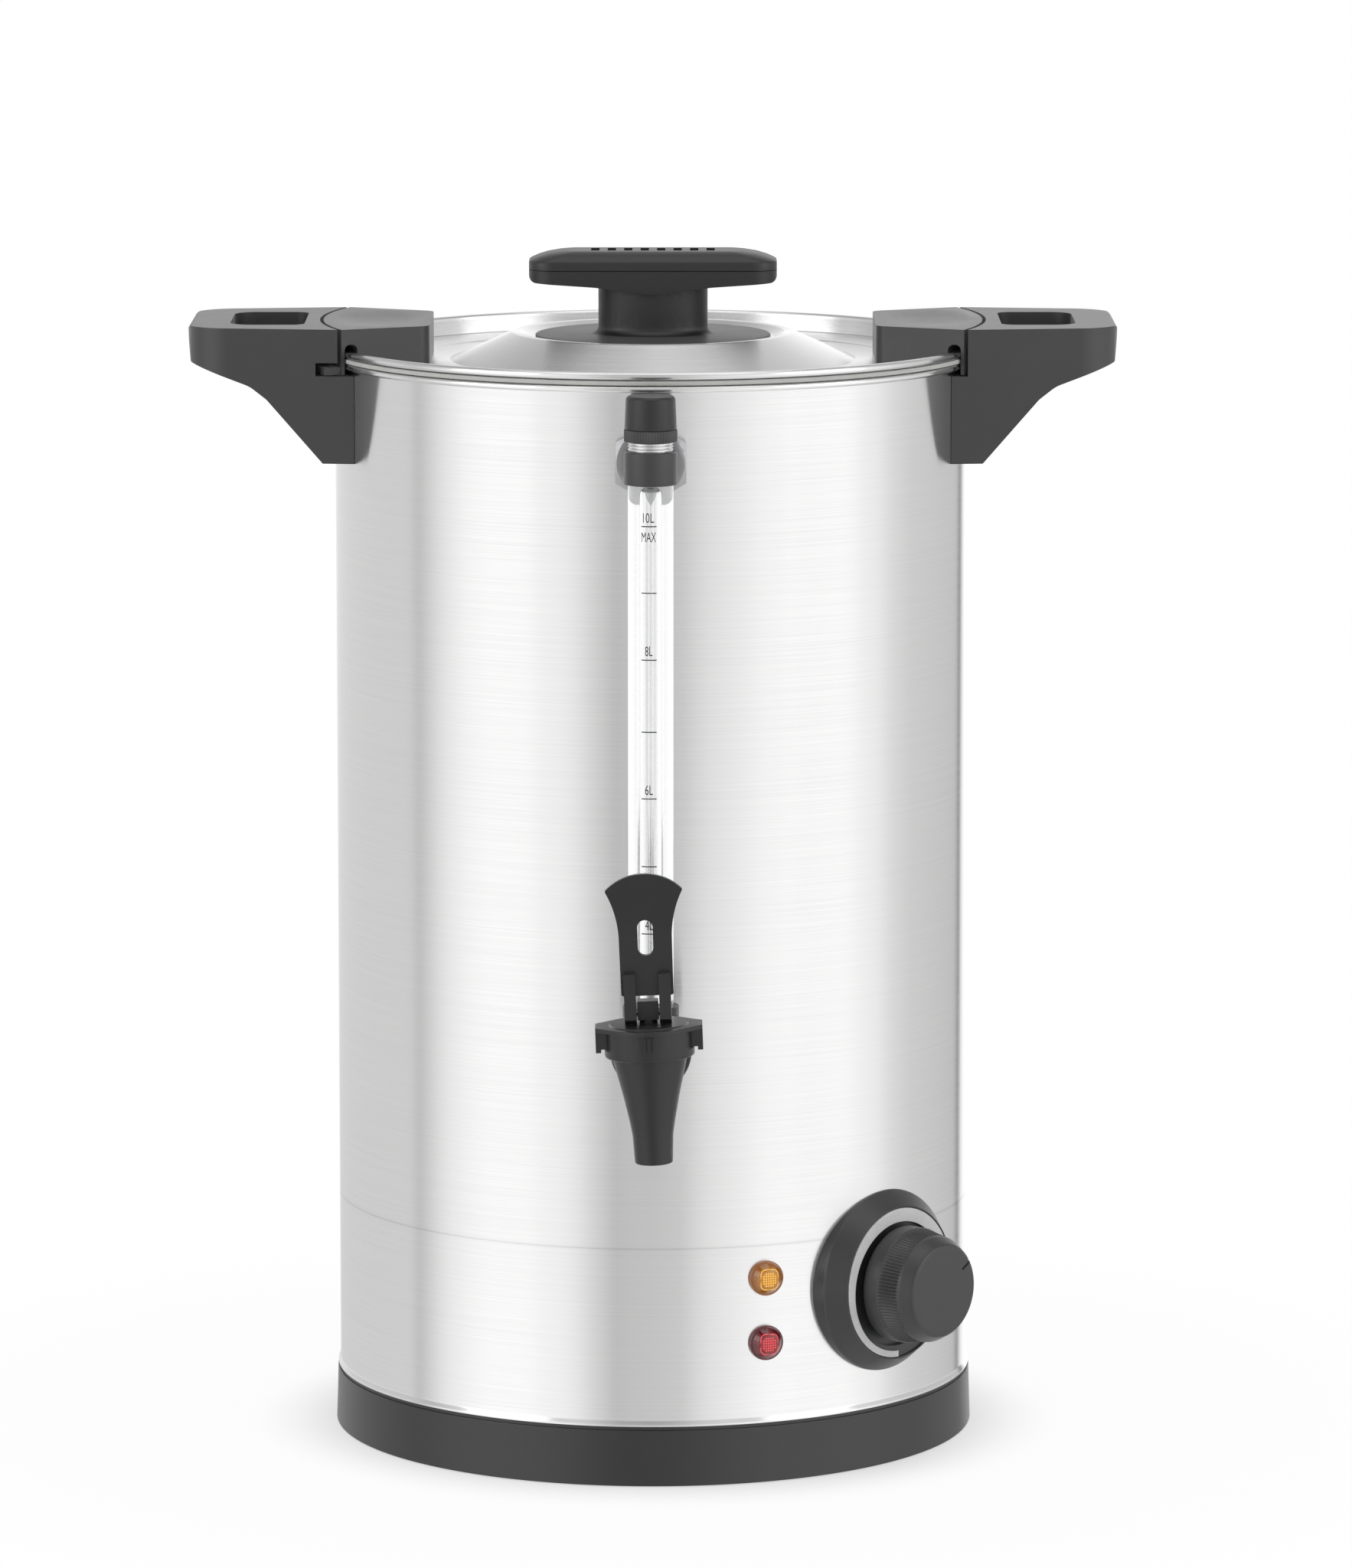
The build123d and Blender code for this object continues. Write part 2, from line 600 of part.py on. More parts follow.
GLAND_INNER = SHELL_INNER_R - 10.0
BLOCK_REAR_Y = BLOCK_Y + BLOCK_SIZE[1] / 2
BLOCK_FRONT_Y = BLOCK_Y - BLOCK_SIZE[1] / 2
WIRE_Z = BRACKET_Z + BLOCK_SIZE[2] / 2
with BuildPart() as wiring:
    for side in (-1, 1):
        route(
            WIRE_R,
            (side * WIRE_X, GLAND_INNER - SEAT_FIT, GLAND_Z),
            (side * WIRE_X, GLAND_INNER - 14, GLAND_Z),
            (side * 8, BLOCK_REAR_Y + 14, WIRE_Z),
            (side * 8, BLOCK_REAR_Y, WIRE_Z),
            radii=(8, 8),
        )
    route(
        WIRE_R,
        (-10, BLOCK_Y, BLOCK_TOP_Z),
        (-10, BLOCK_Y, BLOCK_TOP_Z + 14),
        (-TERMINAL_X, TERMINAL_Y, TERMINAL_Z - 14),
        (-TERMINAL_X, TERMINAL_Y, TERMINAL_Z),
        radii=(8, 8),
    )
    route(
        WIRE_R,
        (8, BLOCK_FRONT_Y, WIRE_Z),
        (8, BLOCK_FRONT_Y - 25, WIRE_Z),
        on_thermostat(-6, -5, 25),
        on_thermostat(-6, -5, 0),
        radii=(12, 12),
    )
    route(
        WIRE_R,
        on_thermostat(6, -5, 0),
        on_thermostat(6, -5, 20),
        (TERMINAL_X, TERMINAL_Y - 30, TERMINAL_Z - 16),
        (TERMINAL_X, TERMINAL_Y, TERMINAL_Z - 14),
        (TERMINAL_X, TERMINAL_Y, TERMINAL_Z),
        radii=(10, 8, 6),
    )
write(wiring, "wiring")

GLAND_NUT_FLATS = 20.0
GLAND_NUT_H = 5.0
GLAND_FLANGE_R = 11.0
GLAND_FLANGE_H = 4.0
GLAND_NOSE = 13.0
with BuildPart() as cord_gland:
    rod(GLAND, GLAND_R, GLAND_INNER, TANK_R + GLAND_NOSE)
    rod(GLAND, GLAND_FLANGE_R, TANK_R + SLIDE_FIT, TANK_R + GLAND_FLANGE_H)
    rod(GLAND, CORD_BORE_R, GLAND_INNER, TANK_R + GLAND_NOSE, mode=Mode.SUBTRACT)
write(cord_gland, "cord_gland")

NUT_REST = reach(SHELL_INNER_R, GLAND_NUT_FLATS / 2 / cos(radians(30))) - SEAT_FIT
with BuildPart() as gland_nut:
    hex_nut(GLAND, GLAND_NUT_FLATS, GLAND_R + SLIDE_FIT, NUT_REST - GLAND_NUT_H, NUT_REST)
write(gland_nut, "gland_nut")

# ---- Pilot lamps ----

LAMP_FLANGE_H = 1.5
LAMP_DOME_H = 4.3
LAMP_TAIL_LENGTH = 17.0
for label, lamp_frame in LAMPS.items():
    with BuildPart() as lamp:
        rod(lamp_frame, LAMP_TAIL_R, TANK_R - LAMP_TAIL_LENGTH, TANK_R + LAMP_FLANGE_H)
        turn(
            lamp_frame,
            (0, TANK_R + SLIDE_FIT),
            (LAMP_R, TANK_R + SLIDE_FIT),
            (LAMP_R, TANK_R + LAMP_FLANGE_H, 0.5),
            (LAMP_R - 0.8, TANK_R + LAMP_FLANGE_H + 0.3),
            (LAMP_R - 2.6, TANK_R + LAMP_DOME_H, 1.2),
            (0, TANK_R + LAMP_DOME_H),
        )
    write(lamp, label)

CLIP_R = 7.4
CLIP_H = 1.2
CLIP_REST = reach(SHELL_INNER_R, CLIP_R) - SEAT_FIT
with BuildPart() as lamp_clips:
    for lamp_frame in LAMPS.values():
        tube(lamp_frame, CLIP_R, LAMP_TAIL_R + SLIDE_FIT, CLIP_REST - CLIP_H, CLIP_REST)
write(lamp_clips, "lamp_clips")

# ---- Thermostat dial ----

BEZEL_WALL = 3.3
BEZEL_FLOOR_OUT = 4.6
BEZEL_FLOOR_WALL = 2.0
SCALE_OUT = 6.4
BEZEL_BACK = reach(TANK_R, BEZEL_R) - 4
with BuildPart() as dial_bezel:
    turn(
        DIAL,
        (BEZEL_R, BEZEL_BACK),
        (BEZEL_R, TANK_R + 0.5, 2.0),
        (BEZEL_SHOULDER_R, TANK_R + BEZEL_SIDE_OUT, 1.2),
        (SCALE_R + SLIDE_FIT + 0.4, TANK_R + BEZEL_FACE_OUT, 0.3),
        (SCALE_R + SLIDE_FIT, TANK_R + SCALE_OUT),
        (DIAL_WELL_R, TANK_R + SCALE_OUT),
        (DIAL_WELL_R, TANK_R + BEZEL_FLOOR_OUT),
        (THERMO_BUSH_R + SEAT_FIT, TANK_R + BEZEL_FLOOR_OUT),
        (THERMO_BUSH_R + SEAT_FIT, TANK_R + BEZEL_FLOOR_OUT - BEZEL_FLOOR_WALL),
        (BEZEL_R - 2 * BEZEL_WALL, TANK_R + BEZEL_FLOOR_OUT - BEZEL_FLOOR_WALL),
        (BEZEL_R - BEZEL_WALL, TANK_R - 1),
        (BEZEL_R - BEZEL_WALL, BEZEL_BACK),
    )
    rod(AXIS, TANK_R + SLIDE_FIT, 0, DIAL_Z + 2 * BEZEL_R, mode=Mode.SUBTRACT)
write(dial_bezel, "dial_bezel")

SCALE_WALL = 0.8
SCALE_INNER_ROOM = 0.45
SCALE_INNER_DROP = 1.3
SCALE_START = -91.0
SCALE_SWEEP = 265.0
with BuildPart() as dial_scale:
    scale_plane = DIAL.offset(TANK_R + SCALE_OUT)
    with BuildSketch(scale_plane) as crescent:
        with BuildLine():
            CenterArc((0, 0), SCALE_R, SCALE_START - SCALE_SWEEP, SCALE_SWEEP)
            Line((0, 0), (SCALE_R * cos(radians(SCALE_START)), SCALE_R * sin(radians(SCALE_START))))
            last_angle = radians(SCALE_START - SCALE_SWEEP)
            Line((0, 0), (SCALE_R * cos(last_angle), SCALE_R * sin(last_angle)))
        make_face()
        with Locations((0, -SCALE_INNER_DROP)):
            Circle(DIAL_WELL_R + SCALE_INNER_ROOM, mode=Mode.SUBTRACT)
    extrude(crescent.sketch, amount=SCALE_WALL)
write(dial_scale, "dial_scale")

KNOB_FACE_R = KNOB_TOP_R - 2.5
FACE_IN = 12.0
FACE_OUT = KNOB_FACE_R + 1.7
NOTCH_W = 1.4
with BuildPart() as dial_knob:
    knob_start = TANK_R + DIAL_KNOB_START
    knob_face = knob_start + DIAL_KNOB_LENGTH
    turn(
        DIAL,
        (0, knob_start),
        (KNOB_SKIRT_R, knob_start, 0.4),
        (KNOB_SKIRT_R, knob_start + DIAL_KNOB_SKIRT, 0.4),
        (KNOB_TOP_R, knob_face - 4.6, 2.0),
        (KNOB_FACE_R, knob_face, 1.5),
        (0, knob_face),
    )
    bore_end = knob_start + DIAL_SHAFT_GRIP + SCREW_TIP_GAP
    rod(DIAL, THERMO_SHAFT_R + SLIDE_FIT, knob_start, bore_end, mode=Mode.SUBTRACT)
    notch_frame = DIAL * Rot(0, 0, DIAL_POINTER_ANGLE)
    notch_centre = ((FACE_IN + FACE_OUT) / 2, 0, knob_face)
    block(notch_frame, (FACE_OUT - FACE_IN, NOTCH_W, 2.4), notch_centre, mode=Mode.SUBTRACT)
write(dial_knob, "dial_knob")

# ---- Handles ----

KNEE_OUT = 23.1
TOE_OUT = 3.0
HANDLE_TOP_Z = EAR_TOP_Z
HANDLE_FOOT_Z = RIM_Z - HANDLE_DROP
HANDLE_LIP_Z = RIM_Z + 1.9
HANDLE_KNEE_Z = RIM_Z - 10.6
HANDLE_SKIN_R = TANK_R + SEAT_FIT


def handle(facing):
    """Side handle: a closed loop that opens upward, screwed to the wall by its inner bar."""
    tip_x = TANK_R + HANDLE_OUT
    plan = Plane(origin=(0, 0, 0), x_dir=(facing, 0, 0), z_dir=(0, 0, 1))
    extrude(
        outline(
            Plane(origin=(0, 0, 0), x_dir=(facing, 0, 0), z_dir=(0, -facing, 0)),
            (TANK_R - 20, HANDLE_FOOT_Z),
            (TANK_R + TOE_OUT, HANDLE_FOOT_Z, 0.5),
            (TANK_R + KNEE_OUT, HANDLE_KNEE_Z, 6.0),
            (TANK_R + KNEE_OUT + 6, HANDLE_KNEE_Z + 4.6, 12.0),
            (tip_x - 1.3, HANDLE_LIP_Z, 0.8),
            (tip_x, HANDLE_TOP_Z, 1.8),
            (TANK_R - 20, HANDLE_TOP_Z),
        ),
        amount=HANDLE_HALF_W + 5,
        both=True,
    )
    extrude(
        outline(
            plan,
            (TANK_R - 20, -HANDLE_HALF_W - 2),
            (TANK_R - 9, -HANDLE_HALF_W),
            (tip_x - 1.5, -HANDLE_TIP_HALF_W, 16.0),
            (tip_x + 1.5, 0, 60.0),
            (tip_x - 1.5, HANDLE_TIP_HALF_W, 16.0),
            (TANK_R - 9, HANDLE_HALF_W),
            (TANK_R - 20, HANDLE_HALF_W + 2),
        ),
        amount=HANDLE_TOP_Z + 10,
        mode=Mode.INTERSECT,
    )
    extrude(
        outline(
            plan,
            (TANK_R + GRIP_HOLE_IN, -GRIP_HOLE_HALF_W, 5.0),
            (TANK_R + GRIP_HOLE_OUT, -GRIP_HOLE_HALF_W, 8.0),
            (TANK_R + GRIP_HOLE_OUT, GRIP_HOLE_HALF_W, 8.0),
            (TANK_R + GRIP_HOLE_IN, GRIP_HOLE_HALF_W, 5.0),
        ),
        amount=HANDLE_TOP_Z + 10,
        mode=Mode.SUBTRACT,
    )
    rod(AXIS, HANDLE_SKIN_R, 0, HANDLE_TOP_Z + 10, mode=Mode.SUBTRACT)
    rod(AXIS, RECESS_R, RECESS_Z, HANDLE_TOP_Z + 10, mode=Mode.SUBTRACT)
    slot_plane = Plane(origin=(0, 0, RECESS_Z), x_dir=(facing, 0, 0), z_dir=(0, 0, 1))
    slot_inner = radians(TAB_ANGLE_IN - 2)
    slot_tip = RECESS_R * 2
    with BuildSketch(slot_plane) as slot:
        Circle(TANK_R + SLOT_OUT)
        Circle(RECESS_R - 1, mode=Mode.SUBTRACT)
        with BuildLine():
            Polyline(
                (0, 0),
                (slot_tip * cos(slot_inner), slot_tip * sin(slot_inner)),
                (0, slot_tip),
                close=True,
            )
        make_face(mode=Mode.INTERSECT)
    extrude(slot.sketch, amount=SLOT_H, mode=Mode.SUBTRACT)
    for screw_frame in HANDLE_SCREWS:
        if screw_frame.z_dir.X * facing > 0:
            hole_end = TANK_R + HANDLE_SCREW_REACH + GAP
            rod(screw_frame, HANDLE_SCREW_R + SLIDE_FIT, TANK_R - 5, hole_end, mode=Mode.SUBTRACT)


with BuildPart() as handle_left:
    handle(-1)
write(handle_left, "handle_left")

with BuildPart() as handle_right:
    handle(1)
write(handle_right, "handle_right")

WASHER_R = 6.0
WASHER_WALL = 1.0
WASHER_REST = reach(SHELL_INNER_R, WASHER_R) - SEAT_FIT
with BuildPart() as handle_washers:
    for screw_frame in HANDLE_SCREWS:
        tube(screw_frame, WASHER_R, HANDLE_SCREW_R + SLIDE_FIT, WASHER_REST - WASHER_WALL, WASHER_REST)
write(handle_washers, "handle_washers")

with BuildPart() as handle_screws:
    head_front = WASHER_REST - WASHER_WALL
    for screw_frame in HANDLE_SCREWS:
        rod(screw_frame, HANDLE_SCREW_R, head_front, TANK_R + HANDLE_SCREW_REACH)
        rod(screw_frame, HANDLE_SCREW_HEAD_R, head_front - HANDLE_SCREW_HEAD_H, head_front)
write(handle_screws, "handle_screws")

# ---- Sight gauge ----

COLLAR_SINK = 2.5
COLLAR_BORE_R = 2.5
COLLAR_TOP_Z = CAP_Z + 2.5
TUBE_TOP_Z = COLLAR_Z - COLLAR_SINK - SEAL_WALL
SOCKET_Z = LOWER_NUT_Z - SEAL_WALL - 1.0
TUBE_BOTTOM_Z = SOCKET_Z + SEAL_WALL
BOSS_TOP_Z = LOWER_NUT_Z + 2.4
BORE_TOP_Z = HOLDER_Z - 0.5
with BuildPart() as sight_tube:
    rod(GAUGE, TUBE_R, TUBE_BOTTOM_Z, TUBE_TOP_Z)
    rod(GAUGE, TUBE_BORE_R, TUBE_BOTTOM_Z, BORE_TOP_Z - TUBE_BORE_R, mode=Mode.SUBTRACT)
    with Locations(GAUGE * Pos(0, 0, BORE_TOP_Z - TUBE_BORE_R)):
        Sphere(TUBE_BORE_R, mode=Mode.SUBTRACT)
    rod(GAUGE, TUBE_VENT_R, BORE_TOP_Z - TUBE_BORE_R, TUBE_TOP_Z, mode=Mode.SUBTRACT)
write(sight_tube, "sight_tube")

STUB_INNER = TANK_R - 15
with BuildPart() as gauge_holder:
    turn(
        GAUGE,
        (0, HOLDER_Z),
        (HOLDER_R, HOLDER_Z, 0.5),
        (HOLDER_R, COLLAR_Z, 0.8),
        (0, COLLAR_Z),
    )
    rod(STUB, STUB_R, STUB_INNER, GAUGE_Y)
    rod(GAUGE, TUBE_R + SEAT_FIT, HOLDER_Z, COLLAR_Z, mode=Mode.SUBTRACT)
write(gauge_holder, "gauge_holder")

with BuildPart() as gauge_hex_nut:
    hex_nut(STUB, HEX_FLATS, STUB_R + SLIDE_FIT, TANK_R + SLIDE_FIT, TANK_R + HEX_H, chamfer_size=1.2)
write(gauge_hex_nut, "gauge_hex_nut")

INNER_NUT_FLATS = 16.0
INNER_NUT_H = 4.5
GAUGE_WASHER_R = 9.0
GAUGE_WASHER_REST = reach(SHELL_INNER_R, GAUGE_WASHER_R) - SEAT_FIT
with BuildPart() as gauge_washer:
    tube(STUB, GAUGE_WASHER_R, STUB_R + SLIDE_FIT, GAUGE_WASHER_REST - SEAL_WALL, GAUGE_WASHER_REST)
write(gauge_washer, "gauge_washer")

with BuildPart() as gauge_inner_nut:
    inner_nut_rest = GAUGE_WASHER_REST - SEAL_WALL
    hex_nut(STUB, INNER_NUT_FLATS, STUB_R + SLIDE_FIT, inner_nut_rest - INNER_NUT_H, inner_nut_rest)
write(gauge_inner_nut, "gauge_inner_nut")

with BuildPart() as gauge_collar:
    tube(GAUGE, TUBE_R, COLLAR_BORE_R, COLLAR_Z - COLLAR_SINK, COLLAR_TOP_Z)
write(gauge_collar, "gauge_collar")

LOCK_RING_RIBS = 24
LOCK_RING_RIB = (0.9, 1.0, LOCK_RING_H)
with BuildPart() as gauge_lock_ring:
    tube(GAUGE, LOCK_RING_R - 0.35, TUBE_R + SEAT_FIT, LOCK_RING_Z, LOCK_RING_Z + LOCK_RING_H)
    for rib in range(LOCK_RING_RIBS):
        rib_frame = GAUGE * Rot(0, 0, rib * 360 / LOCK_RING_RIBS)
        rib_x = LOCK_RING_R - LOCK_RING_RIB[0] / 2
        block(rib_frame, LOCK_RING_RIB, (rib_x, 0, LOCK_RING_Z + LOCK_RING_H / 2))
write(gauge_lock_ring, "gauge_lock_ring")

CAP_HOLLOW_R = 5.0
CAP_CROWN = 2.5
CAP_VENT_R = 1.0
CAP_VENT_H = 6.0
with BuildPart() as gauge_cap:
    turn(
        GAUGE,
        (0, CAP_Z),
        (CAP_FOOT_R, CAP_Z, 0.4),
        (CAP_TOP_R, CAP_Z + CAP_H, 1.6),
        (0, CAP_Z + CAP_H),
    )
    rod(GAUGE, TUBE_R + SEAT_FIT, CAP_Z, COLLAR_TOP_Z + GAP, mode=Mode.SUBTRACT)
    rod(GAUGE, CAP_HOLLOW_R, CAP_Z, CAP_Z + CAP_H - CAP_CROWN, mode=Mode.SUBTRACT)
    vent_frame = outward(180, CAP_Z + CAP_VENT_H, shift=-FRONT_X)
    rod(vent_frame, CAP_VENT_R, -GAUGE_Y, -GAUGE_Y + 2 * CAP_FOOT_R, mode=Mode.SUBTRACT)
write(gauge_cap, "gauge_cap")

with BuildPart() as gauge_seals:
    tube(GAUGE, TUBE_R, TUBE_BORE_R, SOCKET_Z, TUBE_BOTTOM_Z)
    tube(GAUGE, TUBE_R, TUBE_BORE_R, TUBE_TOP_Z, TUBE_TOP_Z + SEAL_WALL)
write(gauge_seals, "gauge_seals")

with BuildPart() as gauge_lower_nut:
    turn(
        GAUGE,
        (TEE_BOSS_R + SLIDE_FIT, LOWER_NUT_Z),
        (LOWER_NUT_R, LOWER_NUT_Z, 0.4),
        (LOWER_NUT_R, LOWER_NUT_Z + LOWER_NUT_H, 0.6),
        (TUBE_R + SEAT_FIT, LOWER_NUT_Z + LOWER_NUT_H),
        (TUBE_R + SEAT_FIT, BOSS_TOP_Z + GAP),
        (TEE_BOSS_R + SLIDE_FIT, BOSS_TOP_Z + GAP),
    )
write(gauge_lower_nut, "gauge_lower_nut")

# ---- Tee shank through the tank wall ----

SHANK_INNER = TANK_R - 20
SHANK_TIP = TAP_Y - 13.0
SPIGOT_R = 8.2
SPIGOT_START = GAUGE_Y + LOWER_NUT_R + 1.0
with BuildPart() as tap_shank:
    rod(SHANK, SHANK_R, SHANK_INNER, SHANK_TIP)
    rod(GAUGE, TEE_BOSS_R, SHANK_Z, BOSS_TOP_Z)
    rod(GAUGE, TUBE_R + SEAT_FIT, SOCKET_Z, BOSS_TOP_Z, mode=Mode.SUBTRACT)
    rod(GAUGE, TUBE_BORE_R, SHANK_Z, SOCKET_Z, mode=Mode.SUBTRACT)
    rod(SHANK, SHANK_BORE_R, SHANK_INNER, SHANK_TIP, mode=Mode.SUBTRACT)
write(tap_shank, "tap_shank")

FLANGE_R = 14.3
FLANGE_H = 3.4
with BuildPart() as shank_flange:
    turn(
        SHANK,
        (SHANK_R + SLIDE_FIT, TANK_R + SLIDE_FIT),
        (FLANGE_R, TANK_R + SLIDE_FIT),
        (FLANGE_R, TANK_R + FLANGE_H, 1.0),
        (SHANK_R + SLIDE_FIT, TANK_R + FLANGE_H),
    )
write(shank_flange, "shank_flange")

SHANK_NUT_FLATS = 22.0
SHANK_NUT_H = 6.0
SHANK_SEAL_WALL = 2.0
SHANK_SEAL_R = 12.0
SHANK_SEAL_REST = reach(SHELL_INNER_R, SHANK_SEAL_R) - SEAT_FIT
with BuildPart() as shank_seal:
    tube(SHANK, SHANK_SEAL_R, SHANK_R + SLIDE_FIT, SHANK_SEAL_REST - SHANK_SEAL_WALL, SHANK_SEAL_REST)
write(shank_seal, "shank_seal")

with BuildPart() as shank_nut:
    nut_rest = SHANK_SEAL_REST - SHANK_SEAL_WALL
    hex_nut(SHANK, SHANK_NUT_FLATS, SHANK_R + SLIDE_FIT, nut_rest - SHANK_NUT_H, nut_rest)
write(shank_nut, "shank_nut")

# ---- Tap ----

CHAMBER_FLOOR_R = 7.4
TAP_INLET = Plane(origin=(FRONT_X, 0, SHANK_Z), x_dir=TAP.x_dir, z_dir=(0, -1, 0))
with BuildPart() as tap_body:
    turn(
        TAP,
        (0, NOZZLE_Z),
        (6.6, NOZZLE_Z, 0.6),
        (7.1, 136.3),
        (7.9, 141.1, 20.0),
        (9.85, 150.6, 40.0),
        (BARREL_R, 163.9, 1.0),
        (BARREL_R, BARREL_TOP_Z),
        (0, BARREL_TOP_Z),
    )
    rod(TAP_INLET, SPIGOT_R, SPIGOT_START, TAP_Y)
    turn(
        TAP,
        (0, VALVE_SEAT_Z - SEAT_CHAMFER),
        (NOZZLE_BORE_R, VALVE_SEAT_Z - SEAT_CHAMFER),
        (NOZZLE_BORE_R + SEAT_CHAMFER, VALVE_SEAT_Z),
        (CHAMBER_FLOOR_R, VALVE_SEAT_Z),
        (CHAMBER_R, 162.0),
        (CHAMBER_R, BARREL_TOP_Z + 1),
        (0, BARREL_TOP_Z + 1),
        mode=Mode.SUBTRACT,
    )
    rod(TAP, NOZZLE_BORE_R, NOZZLE_Z, VALVE_SEAT_Z - SEAT_CHAMFER, mode=Mode.SUBTRACT)
    rod(TAP_INLET, SHANK_BORE_R, SPIGOT_START, TAP_Y, mode=Mode.SUBTRACT)
    rod(TAP_INLET, SHANK_R + SLIDE_FIT, SPIGOT_START, SHANK_TIP + SEAT_FIT, mode=Mode.SUBTRACT)
write(tap_body, "tap_body")

LUG_HALF_D = 5.0
LUG_WALL = 1.8
LUG_WEB = 1.6
LUG_WEB_RISE = 1.2
LUG_BOTTOM_Z = 166.6
RIB_COUNT = 3
RIB_PITCH = 1.5
RIB_SIZE = (0.6, 1.6, 4.9)
RIB_Z = 170.7
with BuildPart() as tap_bonnet:
    turn(
        TAP,
        (BARREL_R + SEAT_FIT, COLLAR_BOTTOM_Z),
        (COLLAR_R, COLLAR_BOTTOM_Z, 1.0),
        (COLLAR_R, BONNET_PLATE_Z),
        (BONNET_R, BONNET_PLATE_Z),
        (BONNET_R, BONNET_TOP_Z - 0.5, 0.4),
        (BONNET_R - 2.6, BONNET_TOP_Z - 0.5),
        (BONNET_R - 3.2, BONNET_TOP_Z),
        (STEM_R + SLIDE_FIT, BONNET_TOP_Z),
        (STEM_R + SLIDE_FIT, BONNET_PLATE_Z),
        (BARREL_R + SEAT_FIT, BONNET_PLATE_Z),
    )
    for side in (-1, 1):
        lug_w = BONNET_LUG_OUT - COLLAR_R + 1
        lug_x = side * (BONNET_LUG_OUT - lug_w / 2)
        bridge_w = BONNET_LUG_OUT - BONNET_R + 2
        bridge_x = side * (BONNET_LUG_OUT - bridge_w / 2)
        plate_centre_z = BONNET_PLATE_Z + BONNET_PLATE_H / 2 - 0.25
        lug_h = BONNET_PLATE_Z - LUG_BOTTOM_Z
        block(TAP, (bridge_w, 2 * LUG_HALF_D, BONNET_PLATE_H - 0.5), (bridge_x, 0, plate_centre_z))
        lug_z = LUG_BOTTOM_Z + lug_h / 2
        block(TAP, (LUG_WALL, 2 * LUG_HALF_D, lug_h), (side * (BONNET_LUG_OUT - LUG_WALL / 2), 0, lug_z))
        block(TAP, (lug_w, LUG_WEB, lug_h), (lug_x, LUG_WEB / 2 - LUG_HALF_D, lug_z + LUG_WEB_RISE))
    for rib in range(RIB_COUNT):
        rib_x = (rib - (RIB_COUNT - 1) / 2) * RIB_PITCH
        block(TAP, RIB_SIZE, (rib_x, -COLLAR_R, RIB_Z))
    rear_cut_h = 2 * (SHANK_Z + SPIGOT_R + GAP - COLLAR_BOTTOM_Z)
    rear_cut = (2 * (SPIGOT_R + GAP), COLLAR_R, rear_cut_h)
    block(TAP, rear_cut, (0, COLLAR_R, COLLAR_BOTTOM_Z), mode=Mode.SUBTRACT)
write(tap_bonnet, "tap_bonnet")

with BuildPart() as bonnet_gasket:
    tube(TAP, BARREL_R - SEAT_FIT, CHAMBER_R + SEAT_FIT, BARREL_TOP_Z, BONNET_PLATE_Z - SLIDE_FIT)
write(bonnet_gasket, "bonnet_gasket")

SEAT_CUP_R = 6.3
SEAT_CUP_H = 5.5
SEAT_CUP_Z = VALVE_SEAT_Z + GAP - 0.1
STEM_FLANGE_R = 4.4
STEM_FLANGE_H = 1.6
STEM_FLANGE_Z = SEAT_CUP_Z + 2.0
STEM_HEAD_HALF_W = LEG_IN - 0.4
STEM_HEAD_TOP_Z = PIVOT_Z + 4.0
STEM_HEAD_H = 6.6
STEM_SINK = 5.0
with BuildPart() as tap_stem:
    rod(TAP, STEM_R, STEM_FLANGE_Z, STEM_HEAD_TOP_Z - STEM_SINK)
    rod(TAP, STEM_FLANGE_R, STEM_FLANGE_Z, STEM_FLANGE_Z + STEM_FLANGE_H)
    head_size = (2 * STEM_HEAD_HALF_W, 2 * STEM_R, STEM_HEAD_H)
    block(TAP, head_size, (0, 0, STEM_HEAD_TOP_Z - STEM_HEAD_H / 2))
    pin_frame = Plane(origin=TAP.from_local_coords((0, 0, PIVOT_Z)), x_dir=TAP.y_dir, z_dir=TAP.x_dir)
    rod(pin_frame, PIN_R + SLIDE_FIT, -STEM_HEAD_HALF_W, STEM_HEAD_HALF_W, mode=Mode.SUBTRACT)
write(tap_stem, "tap_stem")

with BuildPart() as seat_cup:
    rod(TAP, SEAT_CUP_R, SEAT_CUP_Z, SEAT_CUP_Z + SEAT_CUP_H)
    rod(TAP, STEM_FLANGE_R + SLIDE_FIT, STEM_FLANGE_Z - SLIDE_FIT, STEM_FLANGE_Z + STEM_FLANGE_H + SLIDE_FIT,
        mode=Mode.SUBTRACT)
    rod(TAP, STEM_R + SLIDE_FIT, STEM_FLANGE_Z, SEAT_CUP_Z + SEAT_CUP_H, mode=Mode.SUBTRACT)
write(seat_cup, "seat_cup")

SPRING_R = 5.0
SPRING_WIRE_R = 0.5
SPRING_TURNS = 4
SPRING_BOTTOM_Z = SEAT_CUP_Z + SEAT_CUP_H + SPRING_WIRE_R + SLIDE_FIT
SPRING_TOP_Z = BONNET_PLATE_Z - SPRING_WIRE_R - SLIDE_FIT
with BuildPart() as tap_spring:
    spring_height = SPRING_TOP_Z - SPRING_BOTTOM_Z
    spring_foot = TAP.from_local_coords((0, 0, SPRING_BOTTOM_Z))
    coil = Edge.make_helix(spring_height / SPRING_TURNS, spring_height, SPRING_R, spring_foot, TAP.z_dir)
    with BuildSketch(Plane(origin=coil @ 0, z_dir=coil % 0)) as wire_section:
        Circle(SPRING_WIRE_R)
    sweep(wire_section.sketch, path=coil, is_frenet=True)
write(tap_spring, "tap_spring")

# The lever's feet are cams: turned by an angle, they carry the pin higher by the stem's own travel.
CAM_RATE = STEM_LIFT / radians(LEVER_SWING)
CAM_REST_H = PIVOT_H - GAP


